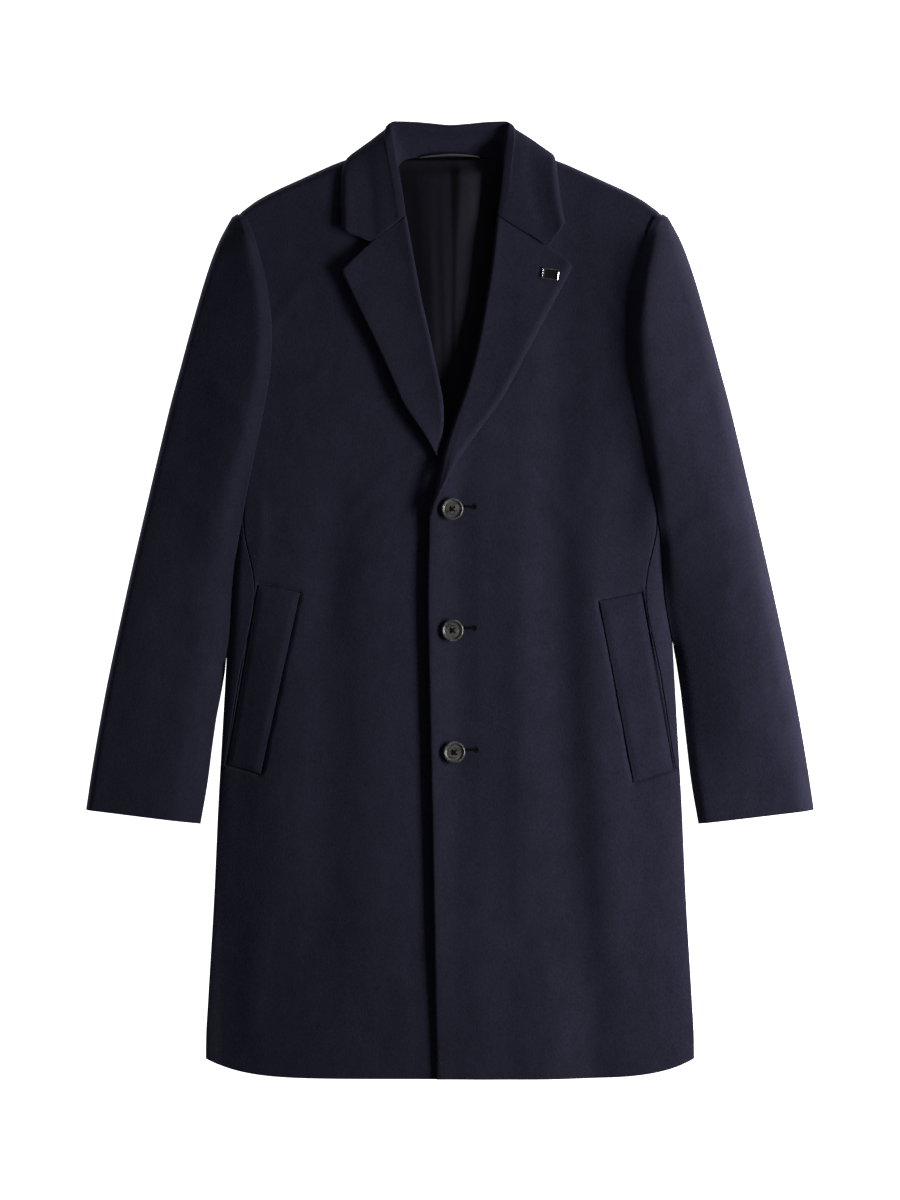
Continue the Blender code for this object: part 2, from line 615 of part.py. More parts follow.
def build_welts():
    for name, table, height in (("welt_left", WELT_LEFT, left_top), ("welt_right", WELT_RIGHT, body_top)):
        low, high = table
        up = np.linspace(0, 1, 13)[:, None]
        across = np.linspace(0, 1, 6)[None, :]
        inner_x = low.inner_x + (high.inner_x - low.inner_x) * up
        inner_y = low.inner_y + (high.inner_y - low.inner_y) * up
        outer_x = low.outer_x + (high.outer_x - low.outer_x) * up
        outer_y = low.outer_y + (high.outer_y - low.outer_y) * up
        x = inner_x + (outer_x - inner_x) * across
        y = inner_y + (outer_y - inner_y) * across
        normal = surface_normals(height, x, y)
        foot = np.stack([x, y, height(x, y)], axis=-1) + normal * 2 * SEAM
        add_wall(name, foot + normal * WELT_THICK, foot, WOOL)


def build_buttons():
    radius = BUTTON_DIAMETER / 2
    profile = (
        (0.0, 0.4),
        (radius - 3.0, 0.0),
        (radius - 0.6, 1.2),
        (radius, 2.4),
        (radius - 0.4, 3.6),
        (radius - 1.4, 4.1),
        (radius - 2.6, 3.6),
        (radius - 3.8, 2.9),
        (0.0, 2.7),
    )
    turns = 28
    for number, row in enumerate(BUTTONS, 1):
        angles = np.linspace(0, 2 * math.pi, 16, endpoint=False)
        spots = left_top(row.x + radius * np.cos(angles), row.y + radius * np.sin(angles))
        floor = max(float(spots.max()), float(left_top(np.array(row.x), np.array(row.y)))) + SEAM
        points = [(row.x, row.y, floor + profile[0][1])]
        for reach, height in profile[1:-1]:
            for k in range(turns):
                angle = 2 * math.pi * k / turns
                points.append((row.x + reach * math.cos(angle), row.y + reach * math.sin(angle), floor + height))
        points.append((row.x, row.y, floor + profile[-1][1]))
        faces = []
        last = len(points) - 1
        rings = len(profile) - 2
        for k in range(turns):
            after = (k + 1) % turns
            faces.append((0, 1 + after, 1 + k))
            for ring in range(rings - 1):
                a = 1 + ring * turns
                b = a + turns
                faces.append((a + k, a + after, b + after, b + k))
            top = 1 + (rings - 1) * turns
            faces.append((top + k, top + after, last))
        button = add_mesh("button_%d" % number, points, faces, HORN)
        for corner in range(4):
            turn = math.radians(45 + 90 * corner)
            where = (row.x + BUTTON_HOLE_SPREAD * math.cos(turn), row.y + BUTTON_HOLE_SPREAD * math.sin(turn))
            drill = add_drill("drill_%d_%d" % (number, corner), where, floor)
            cut = button.modifiers.new("hole_%d" % corner, "BOOLEAN")
            cut.operation = "DIFFERENCE"
            cut.solver = "EXACT"
            cut.object = drill


def add_drill(name, where, floor):
    """Hidden round cutter for a button's hole."""
    sides = 10
    points = []
    for height in (-3.0, 8.0):
        for k in range(sides):
            angle = 2 * math.pi * k / sides
            reach = BUTTON_HOLE / 2
            points.append((where[0] + reach * math.cos(angle), where[1] + reach * math.sin(angle), floor + height))
    faces = [tuple(range(sides)), tuple(range(2 * sides - 1, sides - 1, -1))]
    for k in range(sides):
        after = (k + 1) % sides
        faces.append((after, k, sides + k, sides + after))
    drill = add_mesh(name, points, faces, HORN)
    drill.hide_render = True
    drill.display_type = "WIRE"
    return drill


def height_on(grid, x, y):
    """Height of a grid's surface above a spot, from the cell that holds it."""
    best = None
    for i in range(grid.shape[0] - 1):
        for j in range(grid.shape[1] - 1):
            cell = (grid[i, j], grid[i, j + 1], grid[i + 1, j + 1], grid[i + 1, j])
            for three in ((cell[0], cell[1], cell[2]), (cell[0], cell[2], cell[3])):
                a, b, c = three
                area = (b[0] - a[0]) * (c[1] - a[1]) - (c[0] - a[0]) * (b[1] - a[1])
                if abs(area) < 1e-9:
                    continue
                s = ((x - a[0]) * (c[1] - a[1]) - (c[0] - a[0]) * (y - a[1])) / area
                t = ((b[0] - a[0]) * (y - a[1]) - (x - a[0]) * (b[1] - a[1])) / area
                if s >= -1e-6 and t >= -1e-6 and s + t <= 1 + 1e-6:
                    z = a[2] + s * (b[2] - a[2]) + t * (c[2] - a[2])
                    best = z if best is None else max(best, z)
    return best


def build_pin(lapel):
    wide, tall, thick = PIN_SIZE
    turn = math.radians(PIN_TURN)
    across = np.array((-0.5, -0.42, 0.42, 0.5)) * wide
    up = np.array((-0.5, -0.38, 0.38, 0.5)) * tall
    outer = np.zeros((4, 4, 3))
    inner = np.zeros((4, 4, 3))
    for i in range(4):
        for j in range(4):
            x = PIN_CENTRE[0] + across[j] * math.cos(turn) - up[i] * math.sin(turn)
            y = PIN_CENTRE[1] + across[j] * math.sin(turn) + up[i] * math.cos(turn)
            z = height_on(lapel, x, y) + SEAM
            rim = i in (0, 3) or j in (0, 3)
            inner[i, j] = (x, y, z)
            outer[i, j] = (x, y, z + thick - (0.5 if rim else 0.0))
    add_wall("lapel_pin", outer, inner, GUNMETAL)


def build_loop():
    steps = np.linspace(0, len(LOOP) - 1, 25)
    path = np.stack([along(LOOP, name, steps) for name in ("x", "y", "z")], axis=-1)
    sides = 8
    points = []
    for spot in path:
        for k in range(sides):
            angle = 2 * math.pi * k / sides
            points.append(spot + LOOP_RADIUS * np.array([0.0, math.cos(angle), math.sin(angle)]))
    faces = [tuple(range(sides)), tuple(range(len(points) - 1, len(points) - sides - 1, -1))]
    for i in range(len(path) - 1):
        for k in range(sides):
            after = (k + 1) % sides
            a = i * sides
            faces.append((a + after, a + k, a + sides + k, a + sides + after))
    add_mesh("hanger_loop", points, faces, CORD)


clear_scene()
build_back()
build_fronts()
build_sides()
build_sleeves()
lapels = build_lapels()
build_collar()
build_lining()
build_welts()
build_buttons()
build_pin(lapels["left"])
build_loop()
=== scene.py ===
"""Single-breasted wool coat lying flat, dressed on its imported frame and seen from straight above."""

import logging
import math
from dataclasses import dataclass, field
from enum import Enum
from typing import Callable, NamedTuple, Sequence

import bpy
import mathutils
import numpy as np
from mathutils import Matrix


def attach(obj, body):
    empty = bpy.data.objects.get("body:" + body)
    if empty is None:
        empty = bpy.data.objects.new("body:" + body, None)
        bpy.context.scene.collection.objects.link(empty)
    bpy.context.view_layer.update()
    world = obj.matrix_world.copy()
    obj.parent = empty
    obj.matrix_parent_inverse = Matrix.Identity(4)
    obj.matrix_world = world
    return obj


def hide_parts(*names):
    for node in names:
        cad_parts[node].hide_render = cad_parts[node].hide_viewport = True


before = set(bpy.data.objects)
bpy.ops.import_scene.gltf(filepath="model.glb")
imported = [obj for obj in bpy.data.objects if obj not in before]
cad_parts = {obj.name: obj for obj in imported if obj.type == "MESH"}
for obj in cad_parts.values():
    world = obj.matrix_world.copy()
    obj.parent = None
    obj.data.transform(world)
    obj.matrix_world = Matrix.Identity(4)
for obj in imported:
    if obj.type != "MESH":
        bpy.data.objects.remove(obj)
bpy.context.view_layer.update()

logging.basicConfig(level=logging.INFO, format="%(message)s")
LOG = logging.getLogger("coat")

# Lengths are millimetres until a mesh is made
MM = 0.001

# Walls of the cloth and of a lapel, gap between pieces, collar's room under the back, and the hem
CLOTH = 2.5
LEAF = 3.0
SEAM = 0.35
COLLAR_LAP = 3.0
HEM_Y = -501.2

# How grids are spaced, how slopes are read, and where a fold fades in and out along its length
CLOSEST_ROWS = 0.02
RIM_STEPS = np.array((0.06, 0.25, 0.55, 1.0))
SLOPE_STEP = 0.4
STEEP = 0.95
FOLD_START = (-0.1, 0.25)
FOLD_END = (0.75, 1.1)

ABOVE_TABLE = 0.05
DOWN = np.array((0.0, 0.0, -1.0))
STITCH_SEED = 7

Height = Callable[[np.ndarray, np.ndarray], np.ndarray]
Item = bpy.types.Object
Material = bpy.types.Material
Socket = bpy.types.NodeSocket


class Side(Enum):
    """Which half of the coat a piece belongs to, as its wearer says it."""

    LEFT = 1
    RIGHT = -1

    @property
    def word(self) -> str:
        """The side's word in the names of pieces."""
        return self.name.lower()


def sides(left: object, right: object) -> dict:
    """A dataclass field with one value for each side."""
    return field(default_factory=lambda: {Side.LEFT: left, Side.RIGHT: right})


class Slot(Enum):
    """Finish slots of the record."""

    WOOL = "wool"
    LINING = "lining"
    LOOP = "loop"
    PIN = "pin"
    BUTTON = "button"


class Fold(NamedTuple):
    """A soft ridge, or a trough where its height is negative, between two spots."""

    x_low: float
    y_low: float
    x_high: float
    y_high: float
    width: float
    height: float
    bend: float = 0.0


class BodyRow(NamedTuple):
    """Half widths of the fronts and the back, and the height of the fronts, at one level."""

    y: float
    side: float
    back: float
    loft: float


class TopRow(NamedTuple):
    """Shoulder line and the back's neckline at one distance from the middle."""

    x: float
    shoulder: float
    back: float


class FrontRow(NamedTuple):
    """Ends of one section of a front: side or armhole edge, then the inner edges."""

    side_x: float
    side_y: float
    left_x: float
    left_y: float
    right_x: float
    right_y: float
    shoulder: float


class SleeveRow(NamedTuple):
    """Ends of one section of a sleeve, and its height."""

    outer_x: float
    outer_y: float
    inner_x: float
    inner_y: float
    top: float


class ArchRow(NamedTuple):
    """How a sleeve arches at one level: where its crest is, and how far it drops to both edges."""

    y: float
    crest: float
    inner_drop: float
    outer_drop: float
    power: float
    share: float
    lean: float = 2.0
    flank: float = 15.0


class LapelRow(NamedTuple):
    """One section of a lapel, from its roll line to its outer edge."""

    roll_x: float
    roll_y: float
    edge_x: float
    edge_y: float
    off: float
    bow: float
    curl: float


class CollarRow(NamedTuple):
    """One station of the collar: neck seam, roll, middle of the fall, outer edge."""

    in_x: float
    in_y: float
    roll_x: float
    roll_y: float
    roll_z: float
    mid_x: float
    mid_y: float
    mid_z: float
    out_x: float
    out_y: float
    out_z: float
    under: float


class WeltRow(NamedTuple):
    """Inner and outer corner of a pocket welt at one end."""

    inner_x: float
    inner_y: float
    outer_x: float
    outer_y: float


class Spot(NamedTuple):
    """A place on the plan."""

    x: float
    y: float


class Wave(NamedTuple):
    """One slow wave of the cloth: its height, how it runs across and along, and where it starts."""

    height: float
    across: float
    along: float
    start: float


class Lamp(NamedTuple):
    """A rectangular light, in metres: power, place, size, the spot that it faces, and its colour."""

    name: str
    watts: float
    place: tuple
    size: tuple
    aim: tuple
    colour: tuple = (1.0, 1.0, 1.0)


WAVES = (
    Wave(0.30, 31.0, 83.0, 0.4),
    Wave(0.26, 47.0, -59.0, 2.1),
    Wave(0.20, 19.0, 131.0, 4.0),
    Wave(0.14, 67.0, 23.0, 1.3),
)


def smooth(places: Sequence[float], values: Sequence[float], at: np.ndarray) -> np.ndarray:
    """Curve through values with no overshoot.

    Args:
        places: where the values stand, rising.
        values: what the curve passes through.
        at: where the curve is read.

    Returns:
        The curve's values, in the shape of at.
    """
    places = np.asarray(places, float)
    values = np.asarray(values, float)
    at = np.clip(np.asarray(at, float), places[0], places[-1])
    step = np.diff(places)
    slope = np.diff(values) / step
    tangent = np.zeros(len(places))
    tangent[0], tangent[-1] = slope[0], slope[-1]
    for i in range(1, len(places) - 1):
        if slope[i - 1] * slope[i] > 0:
            before = 2 * step[i] + step[i - 1]
            after = step[i] + 2 * step[i - 1]
            tangent[i] = (before + after) / (before / slope[i - 1] + after / slope[i])
    k = np.clip(np.searchsorted(places, at, side="right") - 1, 0, len(step) - 1)
    t = (at - places[k]) / step[k]
    start = (2 * t**3 - 3 * t**2 + 1) * values[k] + (t**3 - 2 * t**2 + t) * step[k] * tangent[k]
    end = (3 * t**2 - 2 * t**3) * values[k + 1] + (t**3 - t**2) * step[k] * tangent[k + 1]
    return start + end


def column(table: Sequence[NamedTuple], name: str) -> np.ndarray:
    """One named column of a table."""
    return np.array([getattr(row, name) for row in table], float)


def along(table: Sequence[NamedTuple], name: str, at: np.ndarray) -> np.ndarray:
    """A column of a table read between its rows, by row number."""
    return smooth(np.arange(len(table)), column(table, name), at)


def by(table: Sequence[NamedTuple], key: str, name: str, at: np.ndarray) -> np.ndarray:
    """A column of a table read between its rows, by the value of a rising column."""
    return smooth(column(table, key), column(table, name), at)


def gaps(table: Sequence[NamedTuple], *edges: str) -> list:
    """Distance from each row of a table to the next, the mean along the named edges."""
    runs = [[column(table, edge + axis) for axis in ("_x", "_y")] for edge in edges]
    return list(np.mean([np.hypot(*np.diff(run)) for run in runs], axis=0))


def ease(low: float, high: float, value: np.ndarray) -> np.ndarray:
    """0 below low, 1 above high, soft between; it falls where low is above high."""
    t = np.clip((np.asarray(value, float) - low) / (high - low), 0.0, 1.0)
    return t * t * (3 - 2 * t)


def mix(pair: tuple, share: np.ndarray) -> np.ndarray:
    """A value between the two of a pair."""
    return pair[0] + (pair[1] - pair[0]) * share


def rounded(distance: np.ndarray, radius: np.ndarray) -> np.ndarray:
    """Quarter-round rise from 0 at an edge to 1 at a radius from it."""
    t = np.clip(np.asarray(distance, float) / radius, 0.0, 1.0)
    return np.sqrt(1 - (1 - t) ** 2)


def relief(table: Sequence[Fold], x: np.ndarray, y: np.ndarray) -> np.ndarray:
    """Height that a table of folds adds.

    Args:
        table: the folds, each fading out at its ends.
        x: places across.
        y: places along.

    Returns:
        The sum of the folds at each place.
    """
    total = np.zeros(np.broadcast(x, y).shape)
    for row in table:
        run_x, run_y = row.x_high - row.x_low, row.y_high - row.y_low
        length = math.hypot(run_x, run_y)
        t = ((x - row.x_low) * run_x + (y - row.y_low) * run_y) / length**2
        away = ((x - row.x_low) * run_y - (y - row.y_low) * run_x) / length
        away = away - row.bend * 4 * t * (1 - t)
        fade = ease(*FOLD_START, t) * (1 - ease(*FOLD_END, t))
        total = total + row.height * np.exp(-((away / row.width) ** 2)) * fade
    return total


def ripple(x: np.ndarray, y: np.ndarray) -> np.ndarray:
    """Slow uneven swell of cloth that lies at rest, within about a millimetre."""
    return sum(wave.height * np.sin(x / wave.across + y / wave.along + wave.start) for wave in WAVES)


def spaced(lengths: Sequence[float], pitch: float, rim: float = 1.3) -> np.ndarray:
    """Row numbers for a table, evenly spaced on the cloth and closer at both ends.

    Args:
        lengths: distance from each row of the table to the next.
        pitch: spacing wanted in the middle.
        rim: width of the closer rows at each end.

    Returns:
        Rising row numbers from 0 to the number of gaps.
    """
    parts = []
    for k, gap in enumerate(lengths):
        parts.append(np.linspace(k, k + 1, max(2, math.ceil(gap / pitch)), endpoint=False))
    last = float(len(lengths))
    near = RIM_STEPS * rim
    rows = np.concatenate([*parts, near / lengths[0], last - near / lengths[-1], [last]])
    rows = np.unique(np.round(rows, 6))
    keep = np.concatenate([[True], np.diff(rows) * min(lengths) > CLOSEST_ROWS])
    keep[-1] = True
    return rows[keep]


def grid_normals(grid: np.ndarray) -> np.ndarray:
    """Unit normals of a grid of points."""
    normal = np.cross(np.gradient(grid, axis=1), np.gradient(grid, axis=0))
    return normal / np.maximum(np.linalg.norm(normal, axis=-1, keepdims=True), 1e-9)


def upward(grid: np.ndarray, across: int) -> np.ndarray:
    """Unit normals of a grid, on the side that shows upwards at a place across its middle row."""
    normal = grid_normals(grid)
    return normal if normal[len(normal) // 2, across, 2] > 0 else -normal


@dataclass(frozen=True)
class WoolFinish:
    """Felted navy wool: matt, with a short nap and a faint uneven tone."""

    name: str = "navy_melton"
    dark: tuple = (0.0106, 0.0106, 0.0196)
    light: tuple = (0.0228, 0.0226, 0.0410)
    nap_per_metre: float = 520.0
    fibres_per_nap: float = 3.1
    tone_per_metre: float = 55.0
    fibre_share: float = 0.4
    tone_share: float = 0.3
    roughness: float = 0.92
    specular: float = 0.05
    sheen: float = 0.06
    sheen_roughness: float = 0.45
    sheen_tint: tuple = (0.55, 0.55, 0.90, 1.0)
    bump: float = 0.7
    nap_height: float = 0.0006

    def material(self) -> Material:
        """Builds the finish's node tree."""
        tree = NodeTree(self.name)
        place = tree.place("Object")
        nap = tree.noise(place, self.nap_per_metre, 3.0, 0.6, stretch=(1.0, 0.62, 1.0))
        fibres_per_metre = self.nap_per_metre * self.fibres_per_nap
        fibre = tree.noise(place, fibres_per_metre, 2.0, 0.5, stretch=(1.0, 0.45, 1.0))
        tone = tree.noise(place, self.tone_per_metre, 4.0, 0.62, stretch=(1.0, 0.5, 1.0))
        grain = tree.blend(nap, fibre, self.fibre_share)
        tree.colour(tree.blend(grain, tone, self.tone_share), (0.32, self.dark), (0.68, self.light))
        tree.values({
            "Roughness": self.roughness,
            "Specular IOR Level": self.specular,
            "Sheen Weight": self.sheen,
            "Sheen Roughness": self.sheen_roughness,
            "Sheen Tint": self.sheen_tint,
        })
        tree.bump(grain, self.bump, self.nap_height)
        return tree.material


@dataclass(frozen=True)
class SatinFinish:
    """Charcoal lining satin with a fine cross rib."""

    name: str = "charcoal_satin"
    dark: tuple = (0.0076, 0.0071, 0.0114)
    light: tuple = (0.0138, 0.0128, 0.0214)
    rib_per_metre: float = 900.0
    clouds_per_metre: float = 40.0
    roughness: float = 0.56
    specular: float = 0.06
    sheen: float = 0.05
    bump: float = 0.25
    rib_height: float = 0.0003

    def material(self) -> Material:
        """Builds the finish's node tree."""
        tree = NodeTree(self.name)
        place = tree.place("UV")
        thread = tree.noise(place, self.rib_per_metre, 2.0, 0.5, stretch=(1.0, 0.16, 1.0))
        cloud = tree.noise(place, self.clouds_per_metre, 3.0, 0.5, stretch=(1.0, 0.3, 1.0))
        tree.colour(tree.blend(thread, cloud, 0.5), (0.3, self.dark), (0.7, self.light))
        tree.values({
            "Roughness": self.roughness,
            "Specular IOR Level": self.specular,
            "Sheen Weight": self.sheen,
        })
        tree.bump(thread, self.bump, self.rib_height)
        return tree.material


@dataclass(frozen=True)
class HornFinish:
    """Smoky grey polished button with darker clouds."""

    name: str = "smoky_horn"
    dark: tuple = (0.020, 0.020, 0.021)
    light: tuple = (0.115, 0.114, 0.108)
    clouds_per_metre: float = 95.0
    grain_per_metre: float = 700.0
    roughness: float = 0.26
    specular: float = 0.5
    polish: float = 0.35
    polish_roughness: float = 0.12
    bump: float = 0.06
    grain_height: float = 0.0003

    def material(self) -> Material:
        """Builds the finish's node tree."""
        tree = NodeTree(self.name)
        place = tree.place("Object")
        cloud = tree.noise(place, self.clouds_per_metre, 4.0, 0.6, stretch=(1.0, 2.2, 1.0), warp=1.6)
        tree.colour(cloud, (0.33, self.dark), (0.66, self.light))
        tree.values({
            "Roughness": self.roughness,
            "Specular IOR Level": self.specular,
            "Coat Weight": self.polish,
            "Coat Roughness": self.polish_roughness,
        })
        tree.bump(tree.noise(place, self.grain_per_metre, 2.0, 0.5), self.bump, self.grain_height)
        return tree.material


@dataclass(frozen=True)
class PlainFinish:
    """A plain finish with a slightly uneven tone, for small fittings and yarn."""

    name: str
    dark: tuple
    light: tuple
    roughness: float
    metallic: float = 0.0
    bump: float = 0.15
    specular: float = 0.5
    grain_per_metre: float = 800.0
    grain_height: float = 0.0002

    def material(self) -> Material:
        """Builds the finish's node tree."""
        tree = NodeTree(self.name)
        grain = tree.noise(tree.place("Object"), self.grain_per_metre, 3.0, 0.55)
        tree.colour(grain, (0.35, self.dark), (0.65, self.light))
        tree.values({
            "Roughness": self.roughness,
            "Metallic": self.metallic,
            "Specular IOR Level": self.specular,
        })
        tree.bump(grain, self.bump, self.grain_height)
        return tree.material


class NodeTree:
    """Short words for the shader nodes that the finishes share."""

    def __init__(self, name: str) -> None:
        """Starts a material with its Principled shader."""
        self.material = bpy.data.materials.new(name)
        self.material.use_nodes = True
        self.tree = self.material.node_tree
        self.shader = self.tree.nodes["Principled BSDF"]

    def add(self, kind: str) -> bpy.types.Node:
        """Adds a node."""
        return self.tree.nodes.new(kind)

    def place(self, kind: str) -> Socket:
        """Coordinates of one kind, such as Object or UV."""
        return self.add("ShaderNodeTexCoord").outputs[kind]

    def values(self, settings: dict) -> None:
        """Sets inputs of the shader by their names."""
        for name, value in settings.items():
            self.shader.inputs[name].default_value = value

    def link(self, start: Socket, end: Socket) -> None:
        """Joins two sockets."""
        self.tree.links.new(start, end)

    def noise(
        self,
        place: Socket,
        per_metre: float,
        detail: float,
        rough: float,
        stretch: tuple = (1.0, 1.0, 1.0),
        warp: float = 0.0,
    ) -> Socket:
        """A noise pattern.

        Args:
            place: coordinates that it reads.
            per_metre: features to the metre.
            detail: octaves.
            rough: strength of the finer octaves.
            stretch: factor on each axis.
            warp: distortion.

        Returns:
            The pattern's factor.
        """
        mapping = self.add("ShaderNodeMapping")
        mapping.inputs["Scale"].default_value = stretch
        self.link(place, mapping.inputs["Vector"])
        node = self.add("ShaderNodeTexNoise")
        node.inputs["Scale"].default_value = per_metre
        node.inputs["Detail"].default_value = detail
        node.inputs["Roughness"].default_value = rough
        node.inputs["Distortion"].default_value = warp
        self.link(mapping.outputs["Vector"], node.inputs["Vector"])
        return node.outputs["Fac"]

    def blend(self, first: Socket, second: Socket, share: float) -> Socket:
        """Mixes two patterns, share being the second one's."""
        node = self.add("ShaderNodeMix")
        node.data_type = "FLOAT"
        node.inputs["Factor"].default_value = share
        self.link(first, node.inputs["A"])
        self.link(second, node.inputs["B"])
        return node.outputs["Result"]

    def colour(self, pattern: Socket, low: tuple, high: tuple) -> None:
        """Colours the shader by a pattern, between two stops of (place, colour)."""
        node = self.add("ShaderNodeValToRGB")
        for element, (place, colour) in zip(node.color_ramp.elements, (low, high)):
            element.position = place
            element.color = (*colour, 1.0)
        self.link(pattern, node.inputs["Fac"])
        self.link(node.outputs["Color"], self.shader.inputs["Base Color"])

    def bump(self, height: Socket, strength: float, distance: float) -> None:
        """Puts a bump of that height on the shader."""
        node = self.add("ShaderNodeBump")
        node.inputs["Strength"].default_value = strength
        node.inputs["Distance"].default_value = distance
        self.link(height, node.inputs["Height"])
        self.link(node.outputs["Normal"], self.shader.inputs["Normal"])


class Finishes:
    """The coat's materials, made once and shared."""

    def __init__(self) -> None:
        """Makes every material."""
        self.wool = WoolFinish().material()
        self.satin = SatinFinish().material()
        self.horn = HornFinish().material()
        self.yarn = PlainFinish(
            "navy_yarn", (0.0020, 0.0020, 0.0034), (0.0056, 0.0056, 0.0092), 0.8, specular=0.1
        ).material()
        # Near-black painted shade for the inside of each buttonhole opening
        self.slit = PlainFinish(
            "dark_opening", (0.0008, 0.0008, 0.0012), (0.0016, 0.0016, 0.0022), 0.9, specular=0.02
        ).material()
        self.cord = PlainFinish(
            "bright_cord", (0.17, 0.17, 0.18), (0.26, 0.26, 0.27), 0.28, metallic=0.85, bump=0.05
        ).material()
        self.plate = PlainFinish(
            "dark_plate", (0.006, 0.006, 0.007), (0.014, 0.014, 0.016), 0.42, metallic=0.6
        ).material()
        self.rim = PlainFinish(
            "polished_rim", (0.24, 0.24, 0.25), (0.36, 0.36, 0.37), 0.22, metallic=1.0
        ).material()


class Cut(NamedTuple):
    """What a sheet of cloth is: finish, width and length of its cut in metres, and how it lies."""

    material: Material
    flat: tuple
    rests_on: Sequence[str] = ()
    held: str = "laid"
    slot: Slot = Slot.WOOL


class Maker:
    @staticmethod
    def mesh_object(name: str, points: np.ndarray, faces: np.ndarray, material: Material) -> Item:
        """A smooth-shaded object at the origin.

        Args:
            name: piece name.
            points: corners in millimetres.
            faces: rows of corner numbers, quads or triangles.
            material: its finish.

        Returns:
            The linked object.
        """
        mesh = bpy.data.meshes.new(name)
        mesh.from_pydata((np.asarray(points) * MM).tolist(), [], [list(map(int, face)) for face in faces])
        mesh.update()
        mesh.polygons.foreach_set("use_smooth", np.ones(len(mesh.polygons), bool))
        mesh.materials.append(material)
        item = bpy.data.objects.new(name, mesh)
        bpy.context.scene.collection.objects.link(item)
        return item

    @classmethod
    def shell(
        cls, name: str, outer: np.ndarray, thickness: np.ndarray, material: Material, normal: np.ndarray
    ) -> Item:
        """A thin closed cloth shell with rounded edges.

        Args:
            name: piece name.
            outer: grid of points on the shown face.
            thickness: wall at each point, or one for all.
            material: its finish.
            normal: unit normals of the shown face.

        Returns:
            The linked object, with a map of its cloth in metres.
        """
        rows, across = outer.shape[:2]
        wall = np.broadcast_to(np.asarray(thickness, float), (rows, across))
        run, rise = (cls.walked(outer, axis) for axis in (1, 0))
        inset = np.minimum(np.minimum(run, run[:, -1:] - run), np.minimum(rise, rise[-1:] - rise))
        half = 0.5 * wall * rounded(inset, 0.5 * wall)
        middle = outer - normal * (0.5 * wall)[..., None]
        top = middle + normal * half[..., None]
        low = middle - normal * half[..., None]
        low[..., 2] = np.maximum(low[..., 2], ABOVE_TABLE)
        index = np.arange(rows * across).reshape(rows, across)
        inside = np.zeros((rows, across), bool)
        inside[1:-1, 1:-1] = True
        under = index.copy()
        under[inside] = rows * across + np.arange(inside.sum())
        points = np.concatenate([top.reshape(-1, 3), low[inside]])

        def quads(grid: np.ndarray) -> np.ndarray:
            """Corner numbers of a grid's cells."""
            cells = (grid[:-1, :-1], grid[:-1, 1:], grid[1:, 1:], grid[1:, :-1])
            return np.stack(cells, axis=-1).reshape(-1, 4)

        faces = np.concatenate([quads(index), quads(under)[:, ::-1]])
        corner = points[faces]
        volume = np.einsum("ij,ij->i", corner[:, 0], np.cross(corner[:, 1], corner[:, 2])).sum()
        volume += np.einsum("ij,ij->i", corner[:, 0], np.cross(corner[:, 2], corner[:, 3])).sum()
        if volume < 0:
            faces = faces[:, ::-1]
        corners = index[[0, 0, -1, -1], [0, -1, 0, -1]]
        item = cls.mesh_object(name, points, cls.split_corners(faces, corners), material)
        flat = np.stack([run, rise], axis=-1)
        flat = np.concatenate([flat.reshape(-1, 2), flat[inside]]) * MM
        layer = item.data.uv_layers.new(name="cloth")
        loops = np.empty(len(item.data.loops), np.int32)
        item.data.loops.foreach_get("vertex_index", loops)
        layer.data.foreach_set("uv", flat[loops].astype(np.float32).ravel())
        return item

    @staticmethod
    def walked(grid: np.ndarray, axis: int) -> np.ndarray:
        """Distance walked over a grid of points from its first row or column."""
        steps = np.linalg.norm(np.diff(grid, axis=axis), axis=-1)
        return np.insert(np.cumsum(steps, axis=axis), 0, 0.0, axis=axis)

    @staticmethod
    def split_corners(faces: np.ndarray, corners: np.ndarray) -> list:
        """Splits the quads at a shell's corners, so that its upper and lower face share only their edge.

        Args:
            faces: the shell's quads.
            corners: corner numbers of the four corners.

        Returns:
            The quads, with two triangles for each one that was split.
        """
        at_corner = np.isin(faces, corners)
        kept = [tuple(face) for face in faces[~at_corner.any(axis=1)]]
        for face, hit in zip(faces, at_corner):
            if hit.any():
                a, b, c, d = np.roll(face, -int(np.argmax(hit)))
                kept += [(a, b, c), (a, c, d)]
        return kept

    @staticmethod
    def tube(path: np.ndarray, radius: np.ndarray, corners: int) -> tuple:
        """Points and triangles of a closed round tube along a path.

        Args:
            path: points of its centre line.
            radius: its radius at each point, or one for all.
            corners: how many it has round it.

        Returns:
            The points and the faces, as triangles.
        """
        radius = np.broadcast_to(np.asarray(radius, float), (len(path),))
        tangent = np.gradient(path, axis=0)
        tangent /= np.linalg.norm(tangent, axis=-1, keepdims=True)
        upright = abs(tangent[:, 2]).max() >= STEEP
        guide = np.array([0.0, 1.0, 0.0]) if upright else np.array([0.0, 0.0, 1.0])
        beside = np.cross(tangent, guide)
        beside /= np.linalg.norm(beside, axis=-1, keepdims=True)
        above = np.cross(tangent, beside)
        angle = np.arange(corners) * 2 * math.pi / corners
        ring = beside[:, None] * np.cos(angle)[None, :, None] + above[:, None] * np.sin(angle)[None, :, None]
        points = (path[:, None] + ring * radius[:, None, None]).reshape(-1, 3)
        faces = []
        for i in range(len(path) - 1):
            for k in range(corners):
                a, b = i * corners + k, i * corners + (k + 1) % corners
                faces += [(a, b, b + corners), (a, b + corners, a + corners)]
        count = len(points)
        points = np.concatenate([points, path[:1], path[-1:]])
        last = count - corners
        for k in range(corners):
            after = (k + 1) % corners
            faces += [(count, after, k), (count + 1, last + k, last + after)]
        return points, np.array(faces)

    @staticmethod
    def declare(item: Item, slot: Slot, node: str = "") -> None:
        """Rides a piece on the coat and hides the imported part of the node that it stands for."""
        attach(item, "root")
        if node:
            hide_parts(node)
        LOG.info("%s: %d faces", item.name, len(item.data.polygons))

